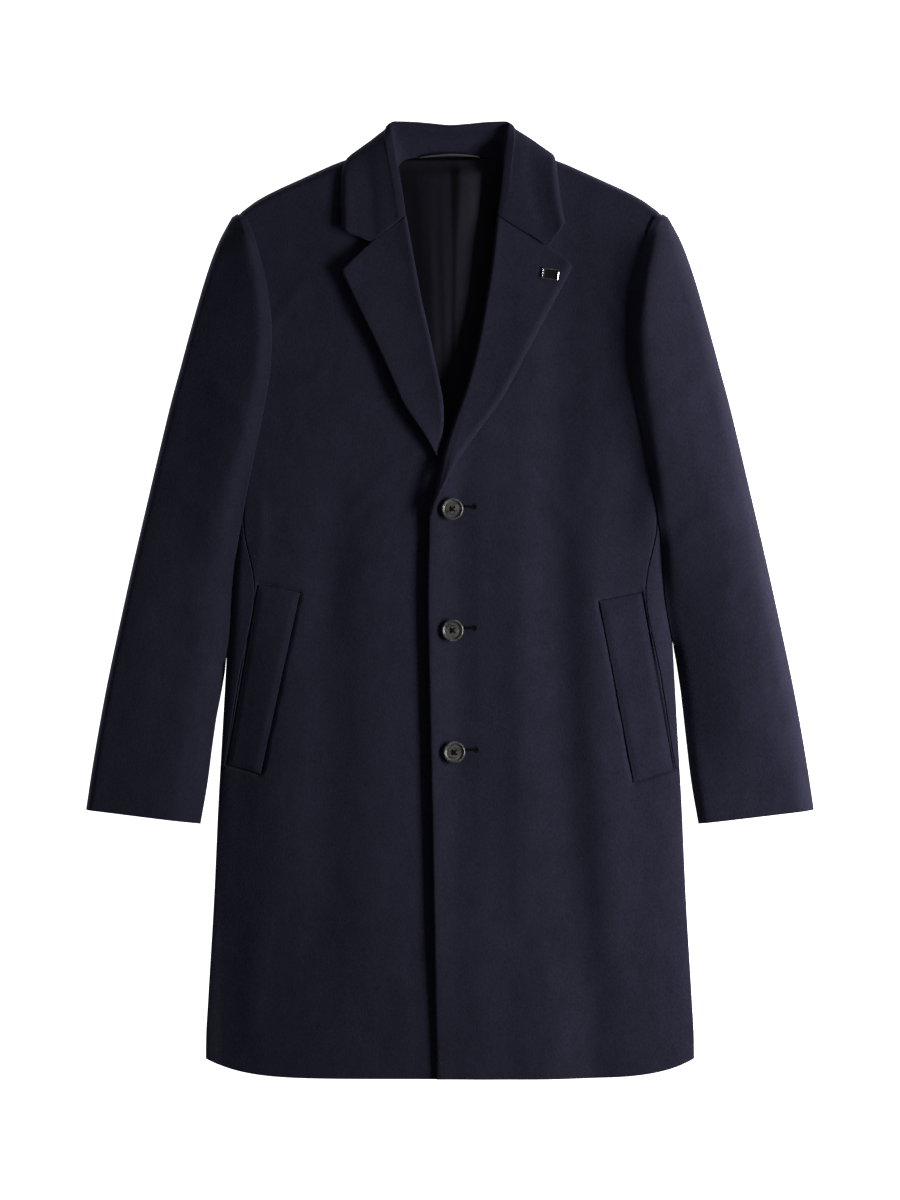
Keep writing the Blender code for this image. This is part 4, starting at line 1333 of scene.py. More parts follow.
@dataclass
class Lapels:
    """Notched lapels, rolled over and lying on the fronts."""

    form: CoatForm
    finishes: Finishes
    pitch: float = 2.6
    across_width: float = 60.0
    across_pitch: float = 1.8
    across_rim: float = 2.2
    across_first: float = 0.03
    roll_radius: float = 4.6
    roll_most: float = 0.42
    roll_from: float = -75.0
    roll_points: int = 19
    roll_wide: float = 30.0
    roll_lift: dict = sides(3.4, 8.5)
    roll_reach: dict = sides(22.0, 46.0)
    off_power: float = 2.5
    sway: float = 0.5
    sway_per_row: float = 2.3
    edge_turn: float = 8.0
    edge_most: float = 0.4
    edge_wide: float = 20.0
    edge_drop: dict = sides(4.4, 0.5)
    edge_lift: float = 1.8
    edge_wall: float = 1.8
    edge_share: tuple = (0.5, 1.0)
    edge_from: tuple = (8.0, 24.0)
    wall_most: float = 0.85
    tip_round: float = 5.0
    tip_cells: int = 8
    rows: dict = sides(
        left=(
            LapelRow(-21.7, 86.0, -20.0, 88.0, 0.2, 0.0, 0.0),
            LapelRow(-19.8, 99.0, -14.8, 103.0, 0.8, 0.0, 0.0),
            LapelRow(-16.8, 110.5, -8.0, 114.0, 1.3, 0.0, 0.1),
            LapelRow(-12.6, 128.0, 0.6, 130.0, 1.8, 0.0, 0.3),
            LapelRow(-7.4, 151.0, 11.6, 149.0, 2.2, 0.0, 0.7),
            LapelRow(4.0, 187.0, 34.0, 180.5, 2.8, 0.0, 1.0),
            LapelRow(17.0, 223.7, 56.0, 211.0, 3.4, 0.0, 1.0),
            LapelRow(28.5, 268.0, 76.0, 248.0, 3.8, 0.0, 1.0),
            LapelRow(36.5, 312.0, 97.0, 287.5, 5.2, 0.0, 1.0),
            LapelRow(43.8, 358.0, 114.0, 319.0, 6.6, 1.5, 1.0),
            LapelRow(48.5, 401.2, 129.7, 348.6, 8.0, 2.6, 1.0),
        ),
        right=(
            LapelRow(-10.8, 152.4, -13.4, 149.8, 1.4, 0.0, 0.0),
            LapelRow(-7.8, 171.0, -23.5, 167.2, 1.9, 0.0, 0.0),
            LapelRow(-6.2, 188.0, -35.5, 184.8, 2.3, 0.0, 0.1),
            LapelRow(-7.2, 208.0, -49.5, 206.0, 2.6, 0.0, 0.4),
            LapelRow(-10.4, 225.5, -58.0, 225.5, 2.7, 0.0, 0.8),
            LapelRow(-13.5, 241.0, -66.0, 243.0, 2.8, 0.0, 1.0),
            LapelRow(-21.0, 276.0, -82.0, 278.0, 3.0, 0.0, 1.0),
            LapelRow(-29.5, 314.0, -94.5, 303.0, 3.4, 0.0, 1.0),
            LapelRow(-37.5, 357.0, -105.0, 325.0, 4.0, 1.5, 1.0),
            LapelRow(-45.5, 401.2, -113.7, 343.4, 4.6, 3.5, 1.0),
        ),
    )

    def grid(self, side: Side) -> tuple:
        """Outer points of a lapel and its wall.

        Args:
            side: which lapel.

        Returns:
            The grid, curled round the roll line and then lying on the front, and the wall.
        """
        table = self.rows[side]
        height = self.form.left if side is Side.LEFT else self.form.top
        steps = spaced(gaps(table, "edge"), self.pitch)

        def read(name: str) -> np.ndarray:
            """A column of the lapel's table at every section."""
            return along(table, name, steps)[:, None]

        run_x, run_y = read("edge_x") - read("roll_x"), read("edge_y") - read("roll_y")
        width = np.hypot(run_x, run_y)
        out_x, out_y = run_x / width, run_y / width
        radius = np.minimum(self.roll_radius, self.roll_most * width)
        open_out = 0.5 + 0.5 * read("curl")
        angle = np.linspace(self.roll_from, 90.0, self.roll_points)[None, :]
        bend = np.radians(90 - (90 - angle) * open_out)
        share = spaced([self.across_width], self.across_pitch, self.across_rim)
        share = share[share > self.across_first][None, :]
        reach = np.concatenate([radius * (1 - np.cos(bend)), radius + (width - radius) * share], axis=1)
        turn = np.concatenate([np.sin(bend) - 1, np.zeros((len(steps), share.shape[1]))], axis=1)
        rest = np.maximum(reach, 2 * self.roll_radius)
        part = reach / width
        rolled = self.roll_lift[side] * np.exp(-reach / self.roll_reach[side])
        lift = rolled * np.minimum(1.0, width / self.roll_wide) + read("off") * part**self.off_power
        lift = lift + self.sway * np.sin(steps[:, None] * self.sway_per_row + side.value) * part**2
        z = height(read("roll_x") + out_x * rest, read("roll_y") + out_y * rest) + SEAM + LEAF + lift
        from_edge = width - reach
        turned = np.minimum(self.edge_turn, self.edge_most * width)
        drop = self.edge_drop[side] * np.clip(1 - from_edge / turned, 0, 1) ** 2
        z = z + self.edge_lift * ease(0.0, 1.0, part) - drop * np.minimum(1.0, width / self.edge_wide)
        bowed = read("bow") * 4 * part * (1 - part)
        x = read("roll_x") + out_x * reach
        y = read("roll_y") + out_y * reach + bowed
        thick = self.edge_wall * ease(*self.edge_share, part) * ease(*self.edge_from, width)
        wall = np.minimum(LEAF, self.wall_most * radius) + thick
        return self.round_tip(np.stack([x, y, z + radius * turn], axis=-1)), wall

    def round_tip(self, grid: np.ndarray) -> np.ndarray:
        """The same grid with the corner between its outer and top edges rounded in plan."""
        near = -self.tip_cells
        out = grid[-1, -1, :2] - grid[-1, near, :2]
        up = grid[-1, -1, :2] - grid[near, -1, :2]
        out, up = out / np.linalg.norm(out), up / np.linalg.norm(up)
        to_edge = np.linalg.norm(grid[..., :2] - grid[:, -1:, :2], axis=-1)
        to_top = np.linalg.norm(grid[..., :2] - grid[-1:, :, :2], axis=-1)
        a = np.clip(1 - to_edge / self.tip_round, 0, 1)
        b = np.clip(1 - to_top / self.tip_round, 0, 1)
        pull_out = a * (1 - np.sqrt(1 - b**2 / 2)) * self.tip_round
        pull_up = b * (1 - np.sqrt(1 - a**2 / 2)) * self.tip_round
        moved = grid.copy()
        moved[..., :2] -= pull_out[..., None] * out + pull_up[..., None] * up
        return moved

    def build(self) -> dict:
        """Makes both lapels and returns their grids."""
        grids = {}
        for side in Side:
            grid, wall = self.grid(side)
            cut = Cut(self.finishes.wool, (0.12, 0.33), ["front_" + side.word], "folded")
            Maker.cloth("lapel_" + side.word, grid, wall, upward(grid, -4), cut)
            grids[side] = grid
        return grids


@dataclass
class Collar:
    """Collar: up the stand, over the roll and down the fall, the back of it lying underneath."""

    finishes: Finishes
    neck_seam: float = 8.5
    stand_shares: tuple = ((0.0, 0.0), (0.3, 0.3), (0.6, 1.2), (0.85, -1.0))
    stand_power: float = 1.15
    stand_below: float = 1.0
    roll_soft: float = 1.6
    turn_reach: float = 8.0
    turn_rise: float = 0.2
    under_reach: float = 2.6
    under_low: float = 0.5
    fall_shares: tuple = ((0.16, 0.97), (0.55, 1.0))
    fall_shift: float = 0.15
    fall_early: float = 0.05
    edge_shares: tuple = (0.4, 0.78, 1.0)
    edge_power: float = 1.4
    edge_drop: float = 5.0
    edge_lift: float = 2.8
    edge_wall: float = 1.4
    edge_start: float = 0.8
    station_gap: float = 20.0
    stations_per_row: int = 6
    across_gap: float = 9.0
    across_pitch: float = 1.8
    rows: tuple = (
        CollarRow(-51, 401, -46, 401.2, 34.0, -81.6, 373.9, 31.6, -114.5, 386.4, 31.0, 0.0),
        CollarRow(-54, 424, -50, 430, 33, -83, 416, 30.0, -115, 414, 29.6, 0.0),
        CollarRow(-56, 444, -55.5, 458, 31, -86, 449, 28.4, -114.5, 441, 27.6, 0.0),
        CollarRow(-51, 458, -60, 481, 28, -87.5, 469, 25.0, -111.5, 456, 24.0, 0.0),
        CollarRow(-43, 462, -62.5, 497.4, 25, -84, 480.6, 13.0, -106.0, 464.5, 12.0, 0.4),
        CollarRow(-35, 463.5, -57, 499.2, 22.5, -82, 478, 0.0, -104, 461, 0.0, 1.0),
        CollarRow(-25, 464, -38, 498.6, 21, -54, 472, 0.0, -76, 448, 0.0, 1.0),
        CollarRow(-12, 464.5, -18, 496.8, 20, -24, 469, 0.0, -34, 440, 0.0, 1.0),
        CollarRow(0, 464.5, 0, 495.2, 19.5, 0, 468, 0.0, 0, 437, 0.0, 1.0),
        CollarRow(12, 464.5, 18, 496.4, 20, 24, 469, 0.0, 34, 440, 0.0, 1.0),
        CollarRow(25, 464, 38, 498.4, 21, 54, 472, 0.0, 76, 448, 0.0, 1.0),
        CollarRow(35, 463.5, 57, 499.2, 22.5, 82, 478, 0.0, 106, 461, 0.0, 1.0),
        CollarRow(43, 462, 62.0, 497.4, 25, 86.5, 482.0, 13.0, 109.0, 466, 12.0, 0.4),
        CollarRow(51, 458, 59, 480, 28, 86, 469, 25.0, 112.0, 456, 24.5, 0.0),
        CollarRow(56, 444, 56.0, 456, 31, 85, 448, 29.0, 113.5, 441, 30.0, 0.0),
        CollarRow(55, 424, 53.0, 429, 32, 90, 413, 30.0, 116.5, 417, 32.0, 0.0),
        CollarRow(53, 401, 49.0, 401.2, 30.6, 101.9, 369.9, 30.4, 121.0, 393.8, 33.0, 0.0),
    )

    def sections(self, steps: np.ndarray) -> np.ndarray:
        """A few points across the collar at each station, from the neck seam to the outer edge."""
        value = {name: along(self.rows, name, steps) for name in CollarRow._fields}
        lines = [[value[name + axis] for axis in ("_x", "_y")] for name in ("in", "roll", "mid", "out")]
        seam, roll, middle, outside = (np.stack(line, axis=-1) for line in lines)
        under, top = value["under"], value["roll_z"]
        mid_z, out_z = value["mid_z"], value["out_z"]
        away = (roll - seam) / np.linalg.norm(roll - seam, axis=-1, keepdims=True)
        over = (middle - roll) / np.linalg.norm(middle - roll, axis=-1, keepdims=True)
        spots = []
        for share, crease in self.stand_shares:
            rise = mix((self.neck_seam, top - self.stand_below), share**self.stand_power)
            spots.append((seam + (roll - seam) * share, rise + crease * under))
        spots.append((roll, top - self.roll_soft * (1 - under)))
        beyond, beneath = self.turn_reach * (1 - under), self.under_reach * under
        turn = roll + over * beyond[:, None] + away * beneath[:, None]
        turn_z = (top + self.turn_rise) * (1 - under) + top * self.under_low * under
        spots.append((turn, turn_z))
        for share, drop in self.fall_shares:
            spot = mix((roll, middle), (share + self.fall_shift * (1 - under))[:, None])
            even = mix((turn_z, mid_z), share + self.fall_early)
            spots.append((spot, even * (1 - under) + mix((turn_z, mid_z), drop) * under))
        spots.append((middle, mid_z))
        for share in self.edge_shares:
            level = mix((mid_z, out_z + self.edge_lift * (1 - under)), share**self.edge_power)
            drop = self.edge_drop * (1 - under) * (share == self.edge_shares[-1])
            spots.append((mix((middle, outside), share), level - drop))
        return np.stack([np.concatenate([spot, z[:, None]], axis=-1) for spot, z in spots], axis=1)

    def grid(self) -> np.ndarray:
        """Outer points of the collar on a fine grid."""
        lengths = [self.station_gap] * (len(self.rows) - 1)
        sections = self.sections(spaced(lengths, self.station_gap / self.stations_per_row))
        count = sections.shape[1]
        across = spaced([self.across_gap] * (count - 1), self.across_pitch)
        fine = np.empty((len(sections), len(across), 3))
        for i, section in enumerate(sections):
            for axis in range(3):
                fine[i, :, axis] = smooth(np.arange(count), section[:, axis], across)
        return fine

    def build(self) -> None:
        """Makes the collar."""
        grid = self.grid()
        across = np.linspace(0.0, 1.0, grid.shape[1])[None, :]
        wall = CLOTH + self.edge_wall * ease(self.edge_start, 1.0, across)
        cut = Cut(self.finishes.wool, (0.42, 0.11), ["back"], "folded")
        Maker.cloth("collar", grid, wall, upward(grid, 8), cut)


@dataclass
class NeckLining:
    """Back lining that shows in the neck, with its pleat down the middle."""

    finishes: Finishes
    wall: float = 1.0
    edge: tuple = (
        (105.0, 30.0),
        (200.0, 48.0),
        (300.0, 58.0),
        (380.0, 58.0),
        (400.0, 56.0),
        (425.0, 58.0),
        (444.0, 58.0),
        (455.0, 58.0),
        (462.0, 57.0),
    )
    folds: tuple = (
        Fold(-2.0, 110.0, -4.0, 470.0, 22.0, 3.0, 1.0),
        Fold(-16.0, 110.0, -33.0, 470.0, 8.0, 0.9, 2.0),
        Fold(-8.0, 130.0, -21.0, 440.0, 5.0, 0.8, -2.0),
        Fold(-4.0, 110.0, -9.0, 430.0, 4.0, 0.5, 1.5),
        Fold(14.0, 150.0, 30.0, 470.0, 8.0, 0.5, -1.5),
    )
    pleat_low: Spot = Spot(2.0, 110.0)
    pleat_high: Spot = Spot(5.5, 455.0)
    pleat_step: tuple = (1.4, 4.6)
    pleat_half: tuple = (2.6, 6.5)
    pleat_open: tuple = (355.0, 435.0)
    pleat_reach: tuple = (6.0, 56.0)
    collar_rise: tuple = (375.0, 425.0)
    top_fade: float = 0.8
    top_start: tuple = (444.0, 458.0)
    swell: float = 8.5
    swell_half: float = 52.0
    swell_start: tuple = (210.0, 330.0)
    sink: float = 0.3
    sink_start: tuple = (446.0, 457.0)
    sections: int = 110
    across_width: float = 90.0
    across_pitch: float = 0.9

    def height(self, x: np.ndarray, y: np.ndarray) -> np.ndarray:
        """Top face of the lining: soft folds and one pleat that opens to the left."""
        rise = (COLLAR_LAP + SEAM) * ease(*self.collar_rise, y)
        fade = 1 - self.top_fade * ease(*self.top_start, y)
        share = (y - self.pleat_low.y) / (self.pleat_high.y - self.pleat_low.y)
        line = mix((self.pleat_low.x, self.pleat_high.x), share)
        opened = ease(*self.pleat_open, y)
        step = ease(-1.0, 1.0, (x - line) / mix(self.pleat_half, opened))
        step = step * (1 - ease(*self.pleat_reach, x - line)) * mix(self.pleat_step, opened)
        swell = self.swell * np.clip(1 - (x / self.swell_half) ** 2, 0, 1) * ease(*self.swell_start, y)
        base = CLOTH + rise + 2 * SEAM + self.wall - self.sink * ease(*self.sink_start, y)
        return base + (relief(self.folds, x, y) + step + swell) * fade

    def build(self) -> None:
        """Makes the lining."""
        y = np.linspace(self.edge[0][0], self.edge[-1][0], self.sections)[:, None]
        half = smooth(*np.transpose(self.edge), y)
        x = half * (2 * spaced([self.across_width], self.across_pitch)[None, :] - 1)
        y = y + 0 * x
        outer = np.stack([x, y, self.height(x, y)], axis=-1)
        normal = CoatForm.slopes(self.height, x, y)
        cut = Cut(self.finishes.satin, (0.12, 0.36), ["back"], slot=Slot.LINING)
        Maker.cloth("lining_back", outer, self.wall, normal, cut)


@dataclass
class Buttons:
    """Four-hole buttons with a raised rim, and the yarn that holds them.

    The profile is turned: distances in from the rim, and heights, from below to above.
    """

    form: CoatForm
    finishes: Finishes
    diameter: float = 23.0
    dish: float = 0.4
    profile: tuple = (
        (3.0, 0.0), (1.4, 0.45), (0.5, 1.2), (0.1, 2.0), (0.0, 2.6), (0.12, 3.2),
        (0.5, 3.75), (1.0, 4.05), (1.5, 4.1), (2.0, 3.9), (2.5, 3.3), (2.9, 2.7),
        (3.4, 2.42), (3.9, 2.46), (4.6, 2.62), (5.2, 2.7), (5.8, 2.7), (9.0, 2.7),
    )
    turns: int = 64
    rest_spots: int = 16
    hole: float = 2.0
    hole_spread: float = 3.0
    drill_ends: tuple = (-3.0, 8.0)
    drill_sides: int = 20
    level_normal: float = 0.9995
    sharp_degrees: float = 40.0
    yarn: float = 0.54
    yarn_level: float = 2.75
    yarn_past: float = 0.25
    yarn_beside: float = 0.38
    yarn_sink: float = 2.2
    yarn_power: int = 5
    yarn_points: int = 15
    yarn_sides: int = 8
    crossings: tuple = ((45.0, 0.62), (135.0, 1.05))

    def floor(self, spot: Spot) -> float:
        """Height that a button rests at."""
        angles = np.linspace(0, 2 * math.pi, self.rest_spots, endpoint=False)
        reach = self.diameter / 2
        x = np.append(spot.x + reach * np.cos(angles), spot.x)
        y = np.append(spot.y + reach * np.sin(angles), spot.y)
        return float((self.form.plain(x, y) + self.form.lap(x, y)).max()) + SEAM

    def turned(self, spot: Spot) -> tuple:
        """Points and triangles of a button before it is drilled.

        Args:
            spot: its middle.

        Returns:
            The points and the faces.
        """
        floor = self.floor(spot)
        angle = np.arange(self.turns) * 2 * math.pi / self.turns
        points = [(spot.x, spot.y, floor + self.dish)]
        for inset, height in self.profile:
            reach = self.diameter / 2 - inset
            for a in angle:
                points.append((spot.x + reach * math.cos(a), spot.y + reach * math.sin(a), floor + height))
        points.append((spot.x, spot.y, floor + self.profile[-1][1]))
        faces = []
        last = len(points) - 1
        for k in range(self.turns):
            after = (k + 1) % self.turns
            faces.append((0, 1 + after, 1 + k))
            for ring in range(len(self.profile) - 1):
                a, b = 1 + ring * self.turns, 1 + (ring + 1) * self.turns
                faces += [(a + k, a + after, b + after), (a + k, b + after, b + k)]
            top = 1 + (len(self.profile) - 1) * self.turns
            faces.append((top + k, top + after, last))
        return np.array(points), faces

    def disc(self, number: int, spot: Spot) -> None:
        """Turns one button and drills its four holes.

        Args:
            number: its place from the top.
            spot: its middle.
        """
        item = Maker.mesh_object("button_%d_disc" % number, *self.turned(spot), self.finishes.horn)
        floor = self.floor(spot)
        drills = []
        for corner in range(4):
            turn = math.radians(45 + 90 * corner)
            x = spot.x + self.hole_spread * math.cos(turn)
            y = spot.y + self.hole_spread * math.sin(turn)
            path = np.array([(x, y, floor + end) for end in self.drill_ends])
            tube = Maker.tube(path, self.hole / 2, self.drill_sides)
            drills.append(Maker.mesh_object("drill", *tube, self.finishes.horn))
            cut = item.modifiers.new("hole", "BOOLEAN")
            cut.operation, cut.solver, cut.object = "DIFFERENCE", "EXACT", drills[-1]
        drilled = Maker.evaluated(item)
        item.modifiers.clear()
        item.data = drilled
        for drill in drills:
            bpy.data.objects.remove(drill, do_unlink=True)
        level = np.array([abs(polygon.normal.z) > self.level_normal for polygon in drilled.polygons])
        drilled.polygons.foreach_set("use_smooth", ~level)
        drilled.set_sharp_from_angle(angle=math.radians(self.sharp_degrees))
        Maker.declare(item, Slot.BUTTON, "button_%d" % number)

    def strands(self) -> None:
        """Makes the crossed yarn that holds the buttons."""
        points, faces, count = [], [], 0
        t = np.linspace(-1, 1, self.yarn_points)
        reach = t * (self.hole_spread + self.yarn_past)
        for spot in self.form.buttons:
            level = self.floor(spot) + self.yarn_level
            for degrees, lift in self.crossings:
                cos, sin = math.cos(math.radians(degrees)), math.sin(math.radians(degrees))
                z = level + lift - (lift + self.yarn_sink) * np.abs(t) ** self.yarn_power
                for beside in (-self.yarn_beside, self.yarn_beside):
                    x = spot.x + cos * reach - sin * beside
                    y = spot.y + sin * reach + cos * beside
                    some, around = Maker.tube(np.stack([x, y, z], axis=-1), self.yarn, self.yarn_sides)
                    points.append(some)
                    faces.append(around + count)
                    count += len(some)
        points, faces = np.concatenate(points), np.concatenate(faces)
        Maker.declare(Maker.mesh_object("button_yarn", points, faces, self.finishes.yarn), Slot.WOOL)

    def build(self) -> None:
        """Makes the buttons and their yarn."""
        for number, spot in enumerate(self.form.buttons, 1):
            self.disc(number, spot)
        self.strands()


@dataclass
class Buttonholes:
    """Worked keyhole buttonholes: purl stitches set round each slit by geometry nodes."""

    form: CoatForm
    finishes: Finishes
    start: float = 10.5
    end: float = 21.5
    rise: float = 2.5
    half: float = 0.85
    eye: float = 1.7
    eye_tall: float = 1.5
    eye_degrees: float = 150.0
    eye_points: int = 15
    seat: float = 0.15
    stitch_pitch: float = 0.5
    stitch_length: float = 2.0
    stitch_wide: float = 0.62
    stitch_least: tuple = (0.9, 0.9, 0.85)
    stitch_most: tuple = (1.1, 1.1, 1.15)
    slit_rise: float = 0.1
    slit_wall: float = 0.4

    def outline(self, spot: Spot) -> np.ndarray:
        """Points round one slit and its eye, lying on the left front."""
        far = self.end + self.eye
        turn = np.radians(np.linspace(-self.eye_degrees, self.eye_degrees, self.eye_points))
        eye_x, eye_y = far + self.eye * np.cos(turn), self.eye_tall * self.eye * np.sin(turn)
        x = spot.x + np.array([self.start, self.start, self.end, *eye_x, self.end])
        y = spot.y + self.rise + np.array([self.half, -self.half, -self.half, *eye_y, self.half])
        z = self.form.left(x, y) + self.seat
        return np.stack([x, y, z], axis=-1)

    def stitch_tree(self) -> bpy.types.GeometryNodeTree:
        """A node tree that sets a stitch at every pitch along a curve."""
        tree = bpy.data.node_groups.new("purl_stitches", "GeometryNodeTree")
        face = tree.interface
        face.new_socket("Curve", in_out="INPUT", socket_type="NodeSocketGeometry")
        sizes = {"Pitch": self.stitch_pitch, "Length": self.stitch_length, "Wide": self.stitch_wide}
        for name, value in sizes.items():
            socket = face.new_socket(name, in_out="INPUT", socket_type="NodeSocketFloat")
            socket.default_value = value * MM
        face.new_socket("Yarn", in_out="INPUT", socket_type="NodeSocketMaterial")
        face.new_socket("Stitches", in_out="OUTPUT", socket_type="NodeSocketGeometry")
        node = tree.nodes.new
        link = tree.links.new
        start, end = node("NodeGroupInput"), node("NodeGroupOutput")
        points = node("GeometryNodeCurveToPoints")
        points.mode = "LENGTH"
        link(start.outputs["Curve"], points.inputs["Curve"])
        link(start.outputs["Pitch"], points.inputs["Length"])
        ball = node("GeometryNodeMeshIcoSphere")
        ball.inputs["Radius"].default_value = 0.5
        ball.inputs["Subdivisions"].default_value = 2
        size = node("ShaderNodeCombineXYZ")
        link(start.outputs["Length"], size.inputs["X"])
        link(start.outputs["Wide"], size.inputs["Y"])
        link(start.outputs["Wide"], size.inputs["Z"])
        sway = node("FunctionNodeRandomValue")
        sway.data_type = "FLOAT_VECTOR"
        sway.inputs[0].default_value = self.stitch_least
        sway.inputs[1].default_value = self.stitch_most
        sway.inputs["Seed"].default_value = STITCH_SEED
        scale = node("ShaderNodeVectorMath")
        scale.operation = "MULTIPLY"
        link(size.outputs["Vector"], scale.inputs[0])
        link(sway.outputs[0], scale.inputs[1])
        turn = node("FunctionNodeAlignRotationToVector")
        turn.axis = "Y"
        turn.pivot_axis = "Z"
        link(points.outputs["Tangent"], turn.inputs["Vector"])
        place = node("GeometryNodeInstanceOnPoints")
        link(points.outputs["Points"], place.inputs["Points"])
        link(ball.outputs["Mesh"], place.inputs["Instance"])
        link(turn.outputs["Rotation"], place.inputs["Rotation"])
        link(scale.outputs["Vector"], place.inputs["Scale"])
        real = node("GeometryNodeRealizeInstances")
        link(place.outputs["Instances"], real.inputs["Geometry"])
        paint = node("GeometryNodeSetMaterial")
        link(real.outputs["Geometry"], paint.inputs["Geometry"])
        link(start.outputs["Yarn"], paint.inputs["Material"])
        link(paint.outputs["Geometry"], end.inputs["Stitches"])
        return tree

    def build_stitches(self) -> None:
        """Makes the stitches of the three holes as one piece."""
        guide = bpy.data.curves.new("buttonhole_guide", "CURVE")
        guide.dimensions = "3D"
        for spot in self.form.buttons:
            path = self.outline(spot) * MM
            spline = guide.splines.new("POLY")
            spline.points.add(len(path) - 1)
            for point, where in zip(spline.points, path):
                point.co = (*where, 1.0)
            spline.use_cyclic_u = True
        item = bpy.data.objects.new("buttonhole_guide", guide)
        bpy.context.scene.collection.objects.link(item)
        tree = self.stitch_tree()
        modifier = item.modifiers.new("stitches", "NODES")
        modifier.node_group = tree
        for socket in tree.interface.items_tree:
            if socket.in_out == "INPUT" and socket.name == "Yarn":
                modifier[socket.identifier] = self.finishes.yarn
        sewn = Maker.evaluated(item)
        bpy.data.objects.remove(item, do_unlink=True)
        sewn.polygons.foreach_set("use_smooth", np.ones(len(sewn.polygons), bool))
        piece = bpy.data.objects.new("buttonhole_stitches", sewn)
        bpy.context.scene.collection.objects.link(piece)
        Maker.declare(piece, Slot.WOOL)

    def build_slit_shade(self) -> None:
        """Makes thin closed slips inside the stitches, painted near-black as the shade in each buttonhole
        opening.
        """
        points, faces = [], []
        for spot in self.form.buttons:
            ring = self.outline(spot)
            ring[:, 2] += self.slit_rise
            middle = ring.mean(axis=0)
            middle[2] = float(self.form.left(middle[0], middle[1])) + (self.seat + self.slit_rise)
            top, count = len(points), len(ring)
            low = top + count + 1
            sunk = np.array([0.0, 0.0, self.slit_wall])
            points += [*ring, middle, *(ring - sunk), middle - sunk]
            for k in range(count):
                after = (k + 1) % count
                faces += [(top + k, top + after, top + count), (low + after, low + k, low + count)]
                faces += [(low + k, low + after, top + after), (low + k, top + after, top + k)]
        item = Maker.mesh_object("buttonhole_slits", np.array(points), faces, self.finishes.slit)
        Maker.declare(item, Slot.WOOL)

    def build(self) -> None:
        """Makes the stitches and the painted shade of the openings inside them."""
        self.build_stitches()
        self.build_slit_shade()


@dataclass
class Fittings:
    """The plain pin on the left lapel and the hanger loop at the neck."""

    finishes: Finishes
    pin_middle: Spot = Spot(104.5, 340.0)
    pin_size: tuple = (17.0, 11.0, 1.6)
    pin_turn: float = -7.5
    pin_near: float = 14.0
    pin_bump: float = 0.6
    pin_gap: float = 0.1
    pin_cells: int = 6
    plate_sink: float = 0.45
    plate_wall: float = 0.9
    rim_wide: float = 0.85
    rim_soft: float = 0.3
    rim_round: float = 0.55
    rim_fall: float = 0.5
    rim_step: float = 0.25
    loop_radius: float = 1.1
    loop_taper: tuple = (0.55, 1.0)
    loop_end: float = 1.2
    loop_steps: int = 73
    loop_sides: int = 16
    loop: tuple = (
        (-31.5, 463.4, 10.2),
        (-24.0, 464.4, 11.5),
        (-12.0, 465.4, 12.6),
        (0.0, 466.2, 12.8),
        (12.0, 465.8, 12.7),
        (24.0, 465.0, 11.6),
        (31.5, 463.6, 10.2),
    )

    def build_pin(self, lapel: np.ndarray) -> None:
        """Makes the blank plate and its polished rim, lying on the lapel.

        Args:
            lapel: the left lapel's grid.
        """
        wide, tall, thick = self.pin_size
        cos, sin = math.cos(math.radians(self.pin_turn)), math.sin(math.radians(self.pin_turn))
        away = np.hypot(lapel[..., 0] - self.pin_middle.x, lapel[..., 1] - self.pin_middle.y)
        near = lapel[away < self.pin_near]
        fit = np.linalg.lstsq(np.c_[near[:, :2], np.ones(len(near))], near[:, 2], rcond=None)[0]
        above = float((near[:, 2] - near[:, :2] @ fit[:2] - fit[2]).max())
        edge = self.rim_wide

        def lines(size: float) -> np.ndarray:
            """Places across the plate, with its rim and its rounded edges."""
            rim = size / 2 - np.array([0.0, self.rim_step, self.rim_round, edge - self.rim_step, edge])
            return np.concatenate([-rim, np.linspace(-rim[-1], rim[-1], self.pin_cells)[1:-1], rim[::-1]])

        across, up = np.meshgrid(lines(wide), lines(tall))
        inset = np.minimum(wide / 2 - np.abs(across), tall / 2 - np.abs(up))
        x = self.pin_middle.x + across * cos - up * sin
        y = self.pin_middle.y + across * sin + up * cos
        foot = x * fit[0] + y * fit[1] + fit[2] + min(above, self.pin_bump) + self.pin_gap
        raised = thick - self.plate_sink * ease(edge - self.rim_soft, edge, inset)
        raised = raised - self.rim_fall * (1 - rounded(inset, self.rim_round))
        outer = np.stack([x, y, foot + raised], axis=-1)
        normal = upward(outer, outer.shape[1] // 2)
        item = Maker.shell("lapel_pin_plate", outer, thick * self.plate_wall, self.finishes.plate, normal)
        item.data.materials.append(self.finishes.rim)
        centre = np.array([polygon.center[:2] for polygon in item.data.polygons]) / MM - self.pin_middle
        local_x = np.abs(centre[:, 0] * cos + centre[:, 1] * sin)
        local_y = np.abs(centre[:, 1] * cos - centre[:, 0] * sin)
        on_rim = (local_x > wide / 2 - edge) | (local_y > tall / 2 - edge)
        item.data.polygons.foreach_set("material_index", on_rim.astype(np.int32))
        Maker.declare(item, Slot.PIN, "lapel_pin")

    def build_loop(self) -> None:
        """Makes the hanger loop, a thin cord sewn down at both ends."""
        table = np.array(self.loop)
        steps = np.linspace(0, len(table) - 1, self.loop_steps)
        path = np.stack([smooth(np.arange(len(table)), table[:, k], steps) for k in range(3)], axis=-1)
        ends = np.minimum(steps, steps[-1] - steps)
        radius = self.loop_radius * mix(self.loop_taper, ease(0.0, self.loop_end, ends))
        tube = Maker.tube(path, radius, self.loop_sides)
        item = Maker.mesh_object("hanger_loop_cord", *tube, self.finishes.cord)
        Maker.declare(item, Slot.LOOP, "hanger_loop")


